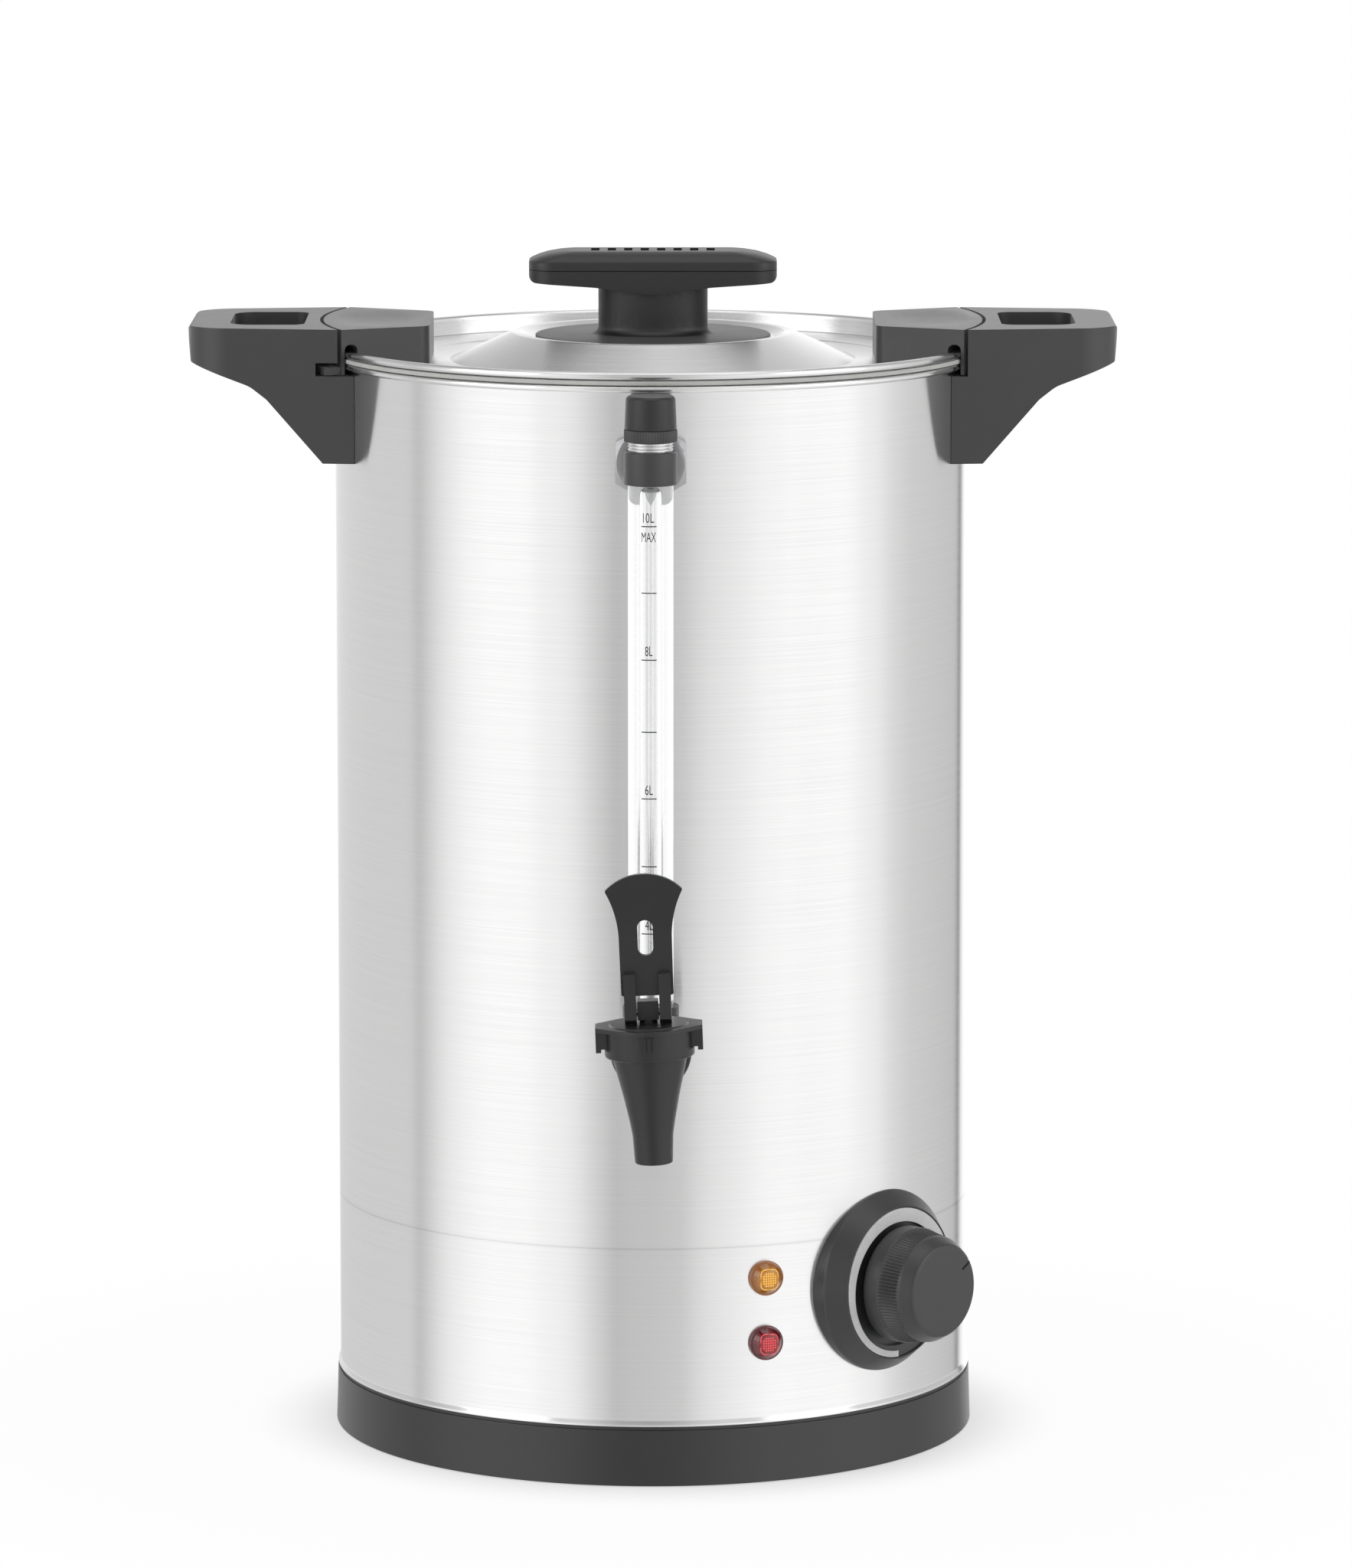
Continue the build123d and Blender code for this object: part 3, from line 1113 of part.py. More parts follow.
def cam_point(degrees_turned):
    """Foot point that stands on the bonnet once the lever has turned this far, from the pin's centre."""
    angle = radians(degrees_turned)
    support = CAM_REST_H + CAM_RATE * angle
    forward = support * sin(angle) + CAM_RATE * cos(angle)
    return (-forward, PIVOT_Z - support * cos(angle) + CAM_RATE * sin(angle))


LEVER_WAIST_HALF_W = 9.2
LEVER_NECK_HALF_W = 10.25
LEVER_NECK_RISE = 9.4
LEVER_HEAD_HALF_W = 13.5
LEVER_HEAD_H = 47.6
LEVER_WAIST_H = 29.4
LEVER_WEB_H = 10.3
LEVER_FLANGE_H = 12.8
LEVER_FRONT = -4.2
LEVER_WALL = 2.6
LEVER_LEAN = 5.0
LEG_TOP_H = 18.4
LEVER_FLANGE_BACK = 4.0
LEVER_FLANGE_WALL = 0.85
LEG_FRONT = -7.4
LEG_KNEE = -8.2
WIDEST = 30.0
SLOT_W = 5.4
SLOT_LOW_H = 24.4
SLOT_HIGH_H = 36.8
with BuildPart() as tap_lever:
    front_plane = front_of(TAP)
    lever_side = side_of(TAP)
    top_z = BONNET_TOP_Z + LEVER_TOP_H
    head_z = BONNET_TOP_Z + LEVER_HEAD_H
    waist_z = BONNET_TOP_Z + LEVER_WAIST_H
    web_z = BONNET_TOP_Z + LEVER_WEB_H
    with BuildSketch(front_plane) as face:
        with BuildLine():
            neck_z = waist_z + LEVER_NECK_RISE
            right_side, left_side = (
                ThreePointArc(
                    (side * LEVER_WAIST_HALF_W, waist_z),
                    (side * LEVER_NECK_HALF_W, neck_z),
                    (side * LEVER_HEAD_HALF_W, head_z),
                )
                for side in (1, -1)
            )
            ThreePointArc(right_side @ 1, (0, top_z), left_side @ 1)
            Polyline(right_side @ 0, (LEG_OUT + 0.95, web_z), (-LEG_OUT - 0.95, web_z), left_side @ 0)
        make_face()
        fillet(face.vertices().group_by(Axis.Z)[-1], radius=0.8)
    extrude(face.sketch, amount=WIDEST, both=True)
    with BuildSketch(lever_side) as blade:
        with BuildLine():
            blade_back = ThreePointArc(
                (LEVER_FRONT + LEVER_WALL, waist_z),
                (LEVER_FRONT + LEVER_WALL - 1.2, waist_z + 13),
                (LEVER_FRONT + LEVER_WALL - LEVER_LEAN, top_z + 1),
            )
            blade_front = ThreePointArc(
                (LEVER_FRONT, waist_z),
                (LEVER_FRONT - 1.0, waist_z + 13),
                (LEVER_FRONT - LEVER_LEAN + 0.4, top_z + 1),
            )
            Line(blade_back @ 1, blade_front @ 1)
            Polyline(
                blade_front @ 0,
                (LEVER_FRONT, web_z),
                (LEVER_FRONT + LEVER_WALL, web_z),
                blade_back @ 0,
            )
        make_face()
    extrude(blade.sketch, amount=WIDEST, both=True, mode=Mode.INTERSECT)
    for side in (-1, 1):
        flange_plane = lever_side.offset(side * (LEG_OUT + 0.1))
        flange_outline = outline(
            flange_plane,
            (LEVER_FRONT + 0.5, BONNET_TOP_Z + LEVER_FLANGE_H),
            (LEVER_FLANGE_BACK, BONNET_TOP_Z + LEVER_FLANGE_H, 2.0),
            (LEVER_FLANGE_BACK, waist_z - 6, 6.0),
            (LEVER_FRONT + LEVER_WALL, waist_z + 6),
            (LEVER_FRONT + 0.5, waist_z + 6),
        )
        extrude(flange_outline, amount=side * LEVER_FLANGE_WALL)
        foot_start = cam_point(0)
        foot_end = cam_point(LEVER_SWING)
        with BuildSketch(lever_side.offset(side * LEG_IN)) as leg:
            with BuildLine():
                cam = ThreePointArc(foot_start, cam_point(LEVER_SWING / 2), foot_end)
                Polyline(
                    cam @ 1,
                    (LEG_KNEE, PIVOT_Z + 2.6),
                    (LEG_FRONT, BONNET_TOP_Z + LEG_TOP_H),
                    (LEVER_FRONT + 0.6, BONNET_TOP_Z + LEG_TOP_H),
                    (LEVER_FRONT + LEVER_WALL, BONNET_TOP_Z + LEG_TOP_H - 3.0),
                    (LEVER_FLANGE_BACK, BONNET_TOP_Z + LEVER_FLANGE_H - 2.0),
                    (LEVER_FLANGE_BACK, PIVOT_Z - CAM_REST_H + 1.2),
                    (2.8, PIVOT_Z - CAM_REST_H),
                    cam @ 0,
                )
            make_face()
        extrude(leg.sketch, amount=side * (LEG_OUT - LEG_IN))
    slot_z = BONNET_TOP_Z + (SLOT_LOW_H + SLOT_HIGH_H) / 2
    with BuildSketch(front_plane) as window:
        with Locations((0, slot_z)):
            SlotOverall(SLOT_HIGH_H - SLOT_LOW_H, SLOT_W, rotation=90)
    extrude(window.sketch, amount=WIDEST, both=True, mode=Mode.SUBTRACT)
    rod(pin_frame, PIN_R + SLIDE_FIT, -LEG_OUT - 2, LEG_OUT + 2, mode=Mode.SUBTRACT)
write(tap_lever, "tap_lever")

with BuildPart() as lever_pin:
    rod(pin_frame, PIN_R, -LEG_OUT, LEG_OUT)
write(lever_pin, "lever_pin")

# ---- Lid ----

CONE_FOOT_R = TANK_R - CONE_FOOT_INSET
SWAGE_R = TANK_R - SWAGE_OUTER_INSET
CREST_Z = ANNULUS_Z + CONE_H
EAR_SCREW_INSET = 17.0
EAR_SCREW_Y = 15.0
EAR_SCREW_R = 1.95
EAR_SCREW_REACH = 8.5
EAR_SCREW_HEAD_R = 3.5
EAR_SCREW_HEAD_H = 2.2
EAR_RIM_INSET = 4.2


def lid_sheet(lift):
    """Points of one face of the pressed lid, from its centre out to the wall of its plug."""
    return [
        (0, SEAT_Z + lift),
        (SEAT_R, SEAT_Z + lift, 1.5),
        (CONE_CREST_R - 1.6, CREST_Z + lift, 2.0),
        (CONE_CREST_R + 1.6, CREST_Z + lift, 3.0),
        (CONE_FOOT_R, ANNULUS_Z + lift, 2.0),
        (SWAGE_R - SWAGE_W, ANNULUS_Z + lift, 0.4),
        (SWAGE_R - SWAGE_W + 0.6, ANNULUS_Z + lift - SWAGE_DROP, 0.4),
        (SWAGE_R - 0.6, ANNULUS_Z + lift - SWAGE_DROP, 0.4),
        (SWAGE_R, ANNULUS_Z + lift, 0.4),
    ]


with BuildPart() as lid_disc:
    turn(
        AXIS,
        *lid_sheet(-LID_WALL),
        (LID_PLUG_R, ANNULUS_Z - LID_WALL, 1.0),
        (LID_PLUG_R, LID_EDGE_Z + LID_WALL),
        (LID_PLUG_R - LID_WALL, LID_EDGE_Z + LID_WALL),
        (LID_PLUG_R - LID_WALL, ANNULUS_Z, 0.5),
        *reversed(lid_sheet(0)),
    )
    tube(AXIS, LID_EDGE_R - LID_EDGE_W / 2, LID_PLUG_R - LID_WALL, LID_EDGE_Z, LID_EDGE_Z + LID_WALL)
    turn(
        AXIS,
        (LID_EDGE_R - LID_EDGE_W, LID_EDGE_Z),
        (LID_EDGE_R, LID_EDGE_Z, 1.1),
        (LID_EDGE_R, LID_EDGE_Z + LID_EDGE_H, 1.2),
        (LID_EDGE_R - LID_EDGE_W, LID_EDGE_Z + LID_EDGE_H, 1.2),
    )
    rod(AXIS, KNOB_SCREW_R + SEAT_FIT, SEAT_Z - THROUGH, SEAT_Z + THROUGH, mode=Mode.SUBTRACT)
    for side in (-1, 1):
        for end in (-1, 1):
            screw = upright(side * (TANK_R - EAR_SCREW_INSET), end * EAR_SCREW_Y)
            hole = (ANNULUS_Z - THROUGH, ANNULUS_Z + THROUGH)
            rod(screw, EAR_SCREW_R + SEAT_FIT, *hole, mode=Mode.SUBTRACT)
write(lid_disc, "lid_disc")

with BuildPart() as lid_seal:
    turn(
        AXIS,
        (LID_PLUG_R + GAP + 0.2, SEAL_Z),
        (RIM_R - 0.2, SEAL_Z, 0.5),
        (RIM_R - 0.2, SEAL_Z + SEAL_H, 0.5),
        (LID_PLUG_R + GAP + 0.2, SEAL_Z + SEAL_H),
    )
write(lid_seal, "lid_seal")

DISH_DEPTH = 1.2
DISH_HALF_L = 30.0
DISH_HALF_W = 15.0
DISH_INSET = 15.0


def ear(facing):
    """Ear on the lid: a block on the annulus that steps over the rim, with a leg and a bayonet tab."""
    plan = Plane(origin=(0, 0, 0), x_dir=(facing, 0, 0), z_dir=(0, 0, 1))
    inner_x = TANK_R - EAR_LENGTH
    wide_x = TANK_R - EAR_RIM_INSET
    slope = (EAR_HALF_W - EAR_INNER_HALF_W) / (wide_x - inner_x)
    far_x = TANK_R + 10
    far_y = EAR_HALF_W + slope * (far_x - wide_x)
    extrude(
        outline(
            plan.offset(EAR_BOTTOM_Z),
            (inner_x, -EAR_INNER_HALF_W, 6.0),
            (far_x, -far_y),
            (far_x, far_y),
            (inner_x, EAR_INNER_HALF_W, 6.0),
        ),
        amount=EAR_TOP_Z - EAR_BOTTOM_Z,
    )
    rod(AXIS, EAR_LEG_R, EAR_BOTTOM_Z, EAR_TOP_Z, mode=Mode.INTERSECT)
    notch_out = EAR_LEG_R - EAR_LEG_WALL
    notch_in = LID_PLUG_R - LID_WALL - 0.55
    notch_top = LID_EDGE_Z + LID_EDGE_H + EAR_NOTCH_ROOM
    turn(
        AXIS,
        (notch_in, 0),
        (notch_out, 0),
        (notch_out, notch_top, 2.0),
        (notch_in, notch_top, 2.0),
        mode=Mode.SUBTRACT,
    )
    rod(AXIS, notch_in + 1, 0, ANNULUS_Z, mode=Mode.SUBTRACT)
    tab_plane = Plane(origin=(0, 0, EAR_BOTTOM_Z), x_dir=(facing, 0, 0), z_dir=(0, 0, 1))
    angles = [radians(TAB_ANGLE_IN), radians(TAB_ANGLE_OUT)]
    far = 2 * EAR_LEG_R
    with BuildSketch(tab_plane) as tab:
        Circle(TANK_R + TAB_OUT + EAR_LEG_OUT)
        Circle(EAR_LEG_R - 0.6, mode=Mode.SUBTRACT)
        with BuildLine():
            Polyline(
                (0, 0),
                (far * cos(angles[0]), far * sin(angles[0])),
                (far * cos(angles[1]), far * sin(angles[1])),
                close=True,
            )
        make_face(mode=Mode.INTERSECT)
    extrude(tab.sketch, amount=TAB_H)
    dish_r = DISH_HALF_W**2 / (2 * DISH_DEPTH)
    dish_long_r = DISH_HALF_L**2 / (2 * DISH_DEPTH)
    with Locations((facing * (TANK_R - DISH_INSET), 0, EAR_TOP_Z - DISH_DEPTH + dish_long_r)):
        Torus(dish_long_r - dish_r, dish_r, rotation=(0, 90, 0), mode=Mode.SUBTRACT)
    for end in (-1, 1):
        screw = upright(facing * (TANK_R - EAR_SCREW_INSET), end * EAR_SCREW_Y)
        hole_end = ANNULUS_Z + EAR_SCREW_REACH + SCREW_TIP_GAP
        rod(screw, EAR_SCREW_R + SLIDE_FIT, ANNULUS_Z, hole_end, mode=Mode.SUBTRACT)


with BuildPart() as lid_ear_left:
    ear(-1)
write(lid_ear_left, "lid_ear_left")

with BuildPart() as lid_ear_right:
    ear(1)
write(lid_ear_right, "lid_ear_right")

with BuildPart() as ear_screws:
    under = ANNULUS_Z - LID_WALL
    for side in (-1, 1):
        for end in (-1, 1):
            screw = upright(side * (TANK_R - EAR_SCREW_INSET), end * EAR_SCREW_Y)
            rod(screw, EAR_SCREW_R, under, ANNULUS_Z + EAR_SCREW_REACH)
            rod(screw, EAR_SCREW_HEAD_R, under - EAR_SCREW_HEAD_H, under)
write(ear_screws, "ear_screws")

# ---- Knob ----

KNOB_UNDER_Z = SEAT_Z + KNOB_UNDERSIDE_H
KNOB_SEAM_Z = SEAT_Z + KNOB_SEAM_H
KNOB_TOP_Z = SEAT_Z + KNOB_TOP_H
KNOB_CORNER_R = 9.0
BELLY_DROP = 2.0
KNOB_SCREW_H = 13.0
with BuildPart() as knob_base:
    with BuildSketch(Plane.XY.offset(SEAT_Z + KNOB_DISC_H - 0.5)) as stem_foot:
        Ellipse(KNOB_STEM_HALF_W, KNOB_STEM_HALF_D)
    extrude(stem_foot.sketch, amount=KNOB_UNDER_Z - SEAT_Z - KNOB_DISC_H + 1.5)
    turn(
        AXIS,
        (0, SEAT_Z),
        (KNOB_DISC_R, SEAT_Z),
        (KNOB_DISC_R, SEAT_Z + KNOB_DISC_H - 0.2, 0.4),
        (KNOB_DISC_R - 1.2, SEAT_Z + KNOB_DISC_H),
        (0, SEAT_Z + KNOB_DISC_H),
    )
    stem_joint = [
        edge
        for edge in knob_base.edges().filter_by_position(Axis.Z, SEAT_Z + KNOB_DISC_H, SEAT_Z + KNOB_DISC_H)
        if edge.bounding_box().size.X < 2.2 * KNOB_STEM_HALF_W
    ]
    fillet(stem_joint, radius=3.0)
    grip_sides = outline(
        Plane.XZ,
        (-KNOB_HALF_W, KNOB_SEAM_Z),
        (-KNOB_HALF_W, KNOB_UNDER_Z + 1.6, 2.6),
        (-KNOB_STEM_HALF_W - 1, KNOB_UNDER_Z, 30.0),
        (0, KNOB_UNDER_Z - 1.4 * BELLY_DROP, 24.0),
        (KNOB_STEM_HALF_W + 1, KNOB_UNDER_Z, 30.0),
        (KNOB_HALF_W, KNOB_UNDER_Z + 1.6, 2.6),
        (KNOB_HALF_W, KNOB_SEAM_Z),
    )
    with BuildSketch(Plane.XY) as grip_plan:
        RectangleRounded(2 * KNOB_HALF_W, 2 * KNOB_HALF_D, KNOB_CORNER_R)
    slab = extrude(grip_sides, amount=KNOB_HALF_D, both=True, mode=Mode.PRIVATE)
    column = extrude(grip_plan.sketch, amount=KNOB_TOP_Z, mode=Mode.PRIVATE)
    add(slab & column)
    rod(AXIS, KNOB_SCREW_R + SLIDE_FIT, SEAT_Z, SEAT_Z + KNOB_SCREW_H + SCREW_TIP_GAP, mode=Mode.SUBTRACT)
write(knob_base, "knob_base")

CAP_FLAT_HALF_W = 32.5
CAP_BEVEL_H = 3.1
CAP_BEVEL_D = 5.0
with BuildPart() as knob_cap:
    extrude(
        outline(
            Plane.XZ,
            (-KNOB_HALF_W, KNOB_SEAM_Z),
            (KNOB_HALF_W, KNOB_SEAM_Z),
            (KNOB_HALF_W, KNOB_TOP_Z - 4.6, 2.6),
            (CAP_FLAT_HALF_W + 6.5, KNOB_TOP_Z - 0.9, 8.0),
            (CAP_FLAT_HALF_W - 4, KNOB_TOP_Z, 20.0),
            (-CAP_FLAT_HALF_W + 4, KNOB_TOP_Z, 20.0),
            (-CAP_FLAT_HALF_W - 6.5, KNOB_TOP_Z - 0.9, 8.0),
            (-KNOB_HALF_W, KNOB_TOP_Z - 4.6, 2.6),
        ),
        amount=KNOB_HALF_D,
        both=True,
    )
    extrude(grip_plan.sketch, amount=2 * KNOB_TOP_Z, mode=Mode.INTERSECT)
    extrude(
        outline(
            Plane.YZ,
            (-KNOB_HALF_D, KNOB_SEAM_Z),
            (KNOB_HALF_D, KNOB_SEAM_Z),
            (KNOB_HALF_D, KNOB_TOP_Z - CAP_BEVEL_H - 0.6, 1.0),
            (KNOB_HALF_D - CAP_BEVEL_D, KNOB_TOP_Z - 0.6, 3.0),
            (0, KNOB_TOP_Z, 30.0),
            (-KNOB_HALF_D + CAP_BEVEL_D, KNOB_TOP_Z - 0.6, 3.0),
            (-KNOB_HALF_D, KNOB_TOP_Z - CAP_BEVEL_H - 0.6, 1.0),
        ),
        amount=2 * KNOB_HALF_W,
        both=True,
        mode=Mode.INTERSECT,
    )
    with Locations((0, 0, KNOB_TOP_Z)):
        with GridLocations(KNOB_SLOT_PITCH, 0, KNOB_SLOT_COUNT, 1):
            Box(KNOB_SLOT_W, KNOB_SLOT_LENGTH, 2 * KNOB_SLOT_DEPTH, mode=Mode.SUBTRACT)
write(knob_cap, "knob_cap")

KNOB_WASHER_R = 9.0
KNOB_WASHER_WALL = 1.2
KNOB_SCREW_HEAD_R = 5.5
KNOB_SCREW_HEAD_H = 3.4
with BuildPart() as knob_washer:
    washer_top = SEAT_Z - LID_WALL
    tube(AXIS, KNOB_WASHER_R, KNOB_SCREW_R + SLIDE_FIT, washer_top - KNOB_WASHER_WALL, washer_top)
write(knob_washer, "knob_washer")

with BuildPart() as knob_screw:
    head_top = SEAT_Z - LID_WALL - KNOB_WASHER_WALL
    rod(AXIS, KNOB_SCREW_R, head_top, SEAT_Z + KNOB_SCREW_H)
    rod(AXIS, KNOB_SCREW_HEAD_R, head_top - KNOB_SCREW_HEAD_H, head_top)
write(knob_screw, "knob_screw")
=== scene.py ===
"""Looks of the hot water urn: finishes, detailed pieces, a pale studio and the camera.

Sizes are in millimetres on the tank's own frame: +Z up its axis, -Y the front with the tap.
"""

from __future__ import annotations

import json
import logging
from collections.abc import Callable, Sequence
from dataclasses import dataclass, field
from enum import Enum
from math import acos, asin, cos, hypot, pi, radians, sin, tan
from typing import Any

import bmesh
import bpy
from mathutils import Matrix, Vector

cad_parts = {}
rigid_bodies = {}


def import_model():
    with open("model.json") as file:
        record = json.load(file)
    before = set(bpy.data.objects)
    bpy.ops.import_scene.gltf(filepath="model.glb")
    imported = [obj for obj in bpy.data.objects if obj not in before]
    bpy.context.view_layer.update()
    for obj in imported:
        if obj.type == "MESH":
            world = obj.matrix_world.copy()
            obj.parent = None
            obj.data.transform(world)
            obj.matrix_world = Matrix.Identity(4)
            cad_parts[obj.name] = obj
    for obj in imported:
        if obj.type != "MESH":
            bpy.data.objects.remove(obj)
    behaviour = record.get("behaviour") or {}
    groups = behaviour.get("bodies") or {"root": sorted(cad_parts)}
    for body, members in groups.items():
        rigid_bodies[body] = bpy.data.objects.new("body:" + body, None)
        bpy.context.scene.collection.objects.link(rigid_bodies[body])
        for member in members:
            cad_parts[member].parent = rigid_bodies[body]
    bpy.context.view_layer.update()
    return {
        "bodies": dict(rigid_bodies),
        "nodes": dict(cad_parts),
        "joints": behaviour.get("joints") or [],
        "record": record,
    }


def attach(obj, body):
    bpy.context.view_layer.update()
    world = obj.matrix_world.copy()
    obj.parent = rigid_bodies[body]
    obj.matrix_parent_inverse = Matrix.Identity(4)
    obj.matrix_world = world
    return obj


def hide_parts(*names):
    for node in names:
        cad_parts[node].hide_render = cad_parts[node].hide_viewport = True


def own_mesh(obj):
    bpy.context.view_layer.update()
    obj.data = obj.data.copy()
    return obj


MM = 0.001
TANK_R = 115.0
GAUGE_X = -0.5
GAUGE_Y = -129.0
LOG = logging.getLogger("urn")
Mesh = bpy.types.Mesh
Shape = bmesh.types.BMesh
Corner = Sequence[float]
Point = tuple[float, float]
Colour = tuple[float, float, float]


class Body(Enum):
    """Bodies that the detailed pieces ride on."""

    URN = "urn"
    LID = "lid"
    STEM = "stem"
    LEVER = "lever"
    DIAL = "dial"


# ---- Shader graphs ----


@dataclass(frozen=True)
class Wire:
    """A node's output that takes part in Python arithmetic."""

    graph: Graph
    socket: bpy.types.NodeSocket

    def maths(self, operation: str, first: Value, second: Value = 0.0) -> Wire:
        """Add one Math node.

        Args:
            operation: The node's operation.
            first: Its first value.
            second: Its second value.

        Returns:
            The node's result.
        """
        return self.graph.add("ShaderNodeMath", {0: first, 1: second}, operation=operation)

    def __add__(self, other: Value) -> Wire:
        """Sum."""
        return self.maths("ADD", self, other)

    def __mul__(self, other: Value) -> Wire:
        """Product."""
        return self.maths("MULTIPLY", self, other)

    def __sub__(self, other: Value) -> Wire:
        """Difference."""
        return self.maths("SUBTRACT", self, other)

    def __rsub__(self, other: Value) -> Wire:
        """Difference, taken from a number."""
        return self.maths("SUBTRACT", other, self)

    def __truediv__(self, other: Value) -> Wire:
        """Quotient."""
        return self.maths("DIVIDE", self, other)

    def __pow__(self, other: Value) -> Wire:
        """Power."""
        return self.maths("POWER", self, other)

    def __abs__(self) -> Wire:
        """Size without its sign."""
        return self.maths("ABSOLUTE", self)

    def __or__(self, other: Value) -> Wire:
        """The larger of two."""
        return self.maths("MAXIMUM", self, other)


Value = Wire | float


@dataclass(frozen=True)
class Graph:
    """A node tree that is filled from Python expressions."""

    tree: bpy.types.NodeTree

    def add(
        self,
        kind: str,
        inputs: dict[int | str, Any] | None = None,
        output: int | str = 0,
        stops: Sequence[tuple[float, float]] = (),
        **settings: Any,
    ) -> Wire:
        """Add a node of any type.

        Args:
            kind: The node's type.
            inputs: Values or wires, by the socket's name or number.
            output: The output that is handed back.
            stops: Places and grey levels of a ramp.
            settings: The node's own settings, which are set first.

        Returns:
            The chosen output.
        """
        node = self.tree.nodes.new(kind)
        for name, value in settings.items():
            setattr(node, name, value)
        if stops:
            handles = node.color_ramp.elements
            while len(handles) < len(stops):
                handles.new(1.0)
            for handle, (place, level) in zip(handles, stops):
                handle.position = place
                handle.color = (level, level, level, 1.0)
        for key, value in (inputs or {}).items():
            socket = node.inputs[key]
            if isinstance(value, Wire):
                self.tree.links.new(value.socket, socket)
            else:
                socket.default_value = value
        return Wire(self, node.outputs[output] if node.outputs else None)

    def spot(self) -> Wire:
        """Position on the piece at rest, in metres."""
        return self.add("ShaderNodeTexCoord", output="Object")

    def parts(self, vector: Wire) -> list[Wire]:
        """The three numbers of a vector."""
        return [self.add("ShaderNodeSeparateXYZ", {0: vector}, output=axis) for axis in range(3)]

    def join(self, x: Value, y: Value, z: Value) -> Wire:
        """One vector from three numbers."""
        return self.add("ShaderNodeCombineXYZ", {0: x, 1: y, 2: z})

    def noise(self, vector: Wire, scale: float, detail: float = 2.0, rough: float = 0.5) -> Wire:
        """Soft noise.

        Args:
            vector: Where it is read.
            scale: Its cells per metre.
            detail: Finer layers that are added.
            rough: Weight of the finer layers.

        Returns:
            A value near 0.5, from 0 to 1.
        """
        inputs = {"Vector": vector, "Scale": scale, "Detail": detail, "Roughness": rough}
        return self.add("ShaderNodeTexNoise", inputs)

    def step(self, value: Wire, low: float, high: float) -> Wire:
        """Soft step from 0 at low to 1 at high."""
        inputs = {"Value": value, "From Min": low, "From Max": high}
        return self.add("ShaderNodeMapRange", inputs, interpolation_type="SMOOTHSTEP")

    def tint(self, factor: Value, low: Colour, high: Colour) -> Wire:
        """Colour between two, by a factor."""
        inputs = {0: factor, 6: (*low, 1.0), 7: (*high, 1.0)}
        return self.add("ShaderNodeMix", inputs, output=2, data_type="RGBA")

    def bump(self, height: Wire, depth: float) -> Wire:
        """Normal from a height of 0 to 1 that stands for a depth in metres."""
        return self.add("ShaderNodeBump", {"Height": height, "Distance": depth})

    def distance(self, x: Value, y: Value) -> Wire:
        """Length of a flat vector."""
        return (x * x + y * y) ** 0.5

    def rays(self) -> list[Wire]:
        """1 on camera, glossy and transmission rays, in that order."""
        kinds = ("Camera", "Glossy", "Transmission")
        return [self.add("ShaderNodeLightPath", output=f"Is {kind} Ray") for kind in kinds]


def fresh_graph(owner: bpy.types.Material | bpy.types.World) -> Graph:
    """Empty node tree of a material or a world."""
    owner.use_nodes = True
    owner.node_tree.nodes.clear()
    return Graph(owner.node_tree)


# ---- Finishes ----


def shade(colour: Colour, factor: float) -> Colour:
    """A colour made brighter or darker."""
    return tuple(part * factor for part in colour)


@dataclass(frozen=True)
class Finish:
    """A surface finish for one of the record's slots; each kind fills in the shader's sockets."""

    name: str
    slot: str

    def sockets(self, graph: Graph) -> dict[str, Any]:
        """Values and wires of the shader's sockets."""
        raise NotImplementedError

    def material(self) -> bpy.types.Material:
        """The Blender material, made once."""
        made = bpy.data.materials.get(self.name)
        if made is None:
            made = bpy.data.materials.new(self.name)
            graph = fresh_graph(made)
            shader = graph.add("ShaderNodeBsdfPrincipled", self.sockets(graph))
            graph.add("ShaderNodeOutputMaterial", {"Surface": shader})
        return made


@dataclass(frozen=True)
class BrushedSteel(Finish):
    """Sheet steel brushed round the tank's axis, with an optional faint weld line."""

    tone: float = 0.86
    roughness: float = 0.2
    weld_z: float | None = None
    weld_reach: float = 1.0
    fine_lines: float = 2600.0
    fine_run: float = 14.0
    broad_lines: float = 420.0
    broad_run: float = 9.0
    dark: float = 0.93
    bright: Colour = (1.06, 1.06, 1.055)

    def sockets(self, graph: Graph) -> dict[str, Any]:
        """Fine rings or lines round the axis in colour, gloss and height."""
        x, y, z = graph.parts(graph.spot())
        across = graph.distance(x, y) + z * 1.4
        run = self.fine_run
        fine = graph.noise(graph.join(x * run, y * run, across * self.fine_lines), 1.0)
        run = self.broad_run
        broad = graph.noise(graph.join(x * run, y * run, across * self.broad_lines), 1.0, 3.0)
        lines = fine * 0.75 + broad * 0.25
        level = lines
        if self.weld_z is not None:
            weld = 1.0 - graph.step(abs(z - self.weld_z * MM), 0.0, self.weld_reach * MM)
            level = lines - weld * 0.6
        return {
            "Base Color": graph.tint(level, (self.tone * self.dark,) * 3, shade(self.bright, self.tone)),
            "Metallic": 1.0,
            "Roughness": lines * 0.12 + (self.roughness - 0.06),
            "Anisotropic": 0.95,
            "Anisotropic Rotation": 0.25,
            "Normal": graph.bump(lines, 0.000006),
        }


